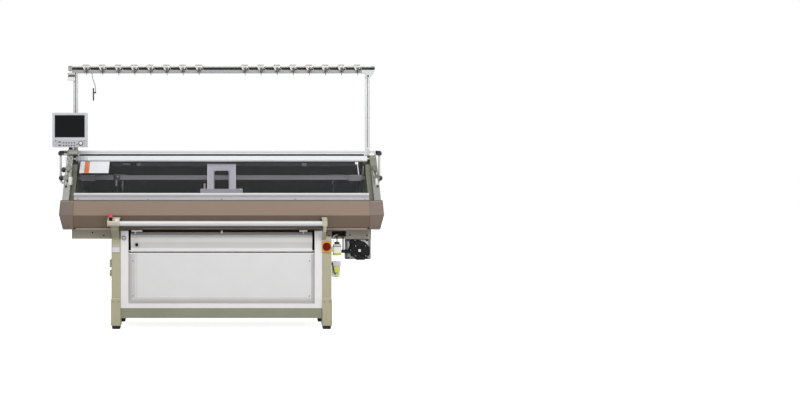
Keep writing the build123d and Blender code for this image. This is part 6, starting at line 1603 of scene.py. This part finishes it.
@dataclass
class Wardrobe:
    """The finish of every CAD node that shows as it is."""

    finishes: dict[str, Finish] = field(default_factory=lambda: {
        "leg_left": LEG_ENAMEL, "leg_right": LEG_ENAMEL, "feet": BLACK_RUBBER, "cross_beams": BEAM_ENAMEL,
        "base_frame": OLIVE_ENAMEL, "bed_bearers": BEAM_ENAMEL, "control_cabinet": OLIVE_ENAMEL,
        "front_trim": WHITE_POWDER, "lower_panel": PANEL_POWDER, "chute_panel": CHUTE_POWDER,
        "front_apron": TAUPE_APRON, "rear_apron": TAUPE_ENAMEL, "end_cover_left": END_ENAMEL,
        "end_cover_right": END_ENAMEL, "rear_hood": HOOD_ENAMEL, "side_plate_left": SIDE_CAST,
        "side_plate_right": SIDE_CAST, "top_rail": RAIL_POWDER, "cover_rails": COVER_ALUMINIUM,
        "cover_panel": CLEAR_COVER, "front_needle_bed": DARK_STEEL, "rear_needle_bed": DARK_STEEL,
        "racking_screw": BRIGHT_STEEL,
        "front_carriage": CARRIAGE_ALUMINIUM, "rear_carriage": CARRIAGE_ALUMINIUM,
        "carriage_bridge": CARRIAGE_SATIN, "carrier_rails": RAIL_GREY,
        "takedown_roller_front": BLACK_RUBBER, "takedown_roller_rear": BLACK_RUBBER, "drive_belts": BLACK_RUBBER,
        "drive_pulley": BRIGHT_STEEL, "idler_pulley": BRIGHT_STEEL, "motor_pulley": BRIGHT_STEEL,
        "motor_plate": MOTOR_PLATE_PAINT, "drive_motor": MOTOR_BLACK, "estop_box": CREAM_ABS, "estop_button": RED_ABS,
        "bar_bracket": CREAM_ABS, "operating_bar": ALUMINIUM, "switch_plate": ORANGE_ENAMEL,
        "switch_knob": DARK_RED_ABS, "yarn_posts": UPRIGHT_ALUMINIUM, "yarn_crossbar": STAND_ALUMINIUM,
        "tension_bodies": WHITE_ABS, "tension_levers": DARK_STEEL, "signal_lamp": LAMP_ABS,
        "hand_tool": BLACK_NYLON, "monitor_block": GREY_CAST, "monitor_neck": BLACK_NYLON,
        "monitor_housing": MONITOR_ABS, "monitor_screen": SCREEN_GLASS, "side_yarn_gear": GEAR_PAINT,
        "oil_reservoir": CLEAR_OIL, "lubricator": LUBE_PLASTIC, "cables": BLACK_RUBBER, "trim_latch": BRIGHT_STEEL,
        "yarn_carrier_1": CARRIER_STEEL, "yarn_carrier_2": CARRIER_STEEL, "yarn_carrier_3": CARRIER_STEEL,
    })

    def build(self, nodes: dict[str, bpy.types.Object]) -> None:
        """Dress each node.

        Args:
            nodes: the frame's CAD nodes by name.
        """
        for name, finish in self.finishes.items():
            node = nodes[name]
            material = finish.build()
            if not node.material_slots:
                node.data.materials.append(material)
            for slot in node.material_slots:
                slot.material = material
            LOG.info("node %s in %s", name, finish.name)


def main() -> None:
    """Load the frame and build the machine's looks in order."""
    logging.basicConfig(level=logging.INFO, format="%(name)s: %(message)s")
    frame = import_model()
    nodes = frame["nodes"]
    Eye().build()
    ToolCord().build(nodes)
    Studio().build()
    Wardrobe().build(nodes)
    for part in (YarnStandTrim(), MonitorTrim(), SideGearTrim(), CoverTrim(), CarrierTrim(), CarriageTrim(),
                 MotorTrim(), OilTrim(), BoxTrim(), LegTrim(), PanelTrim(), RearTrim()):
        part.build()
    bpy.context.scene.view_settings.view_transform = "Standard"


if __name__ == "__main__":
    main()
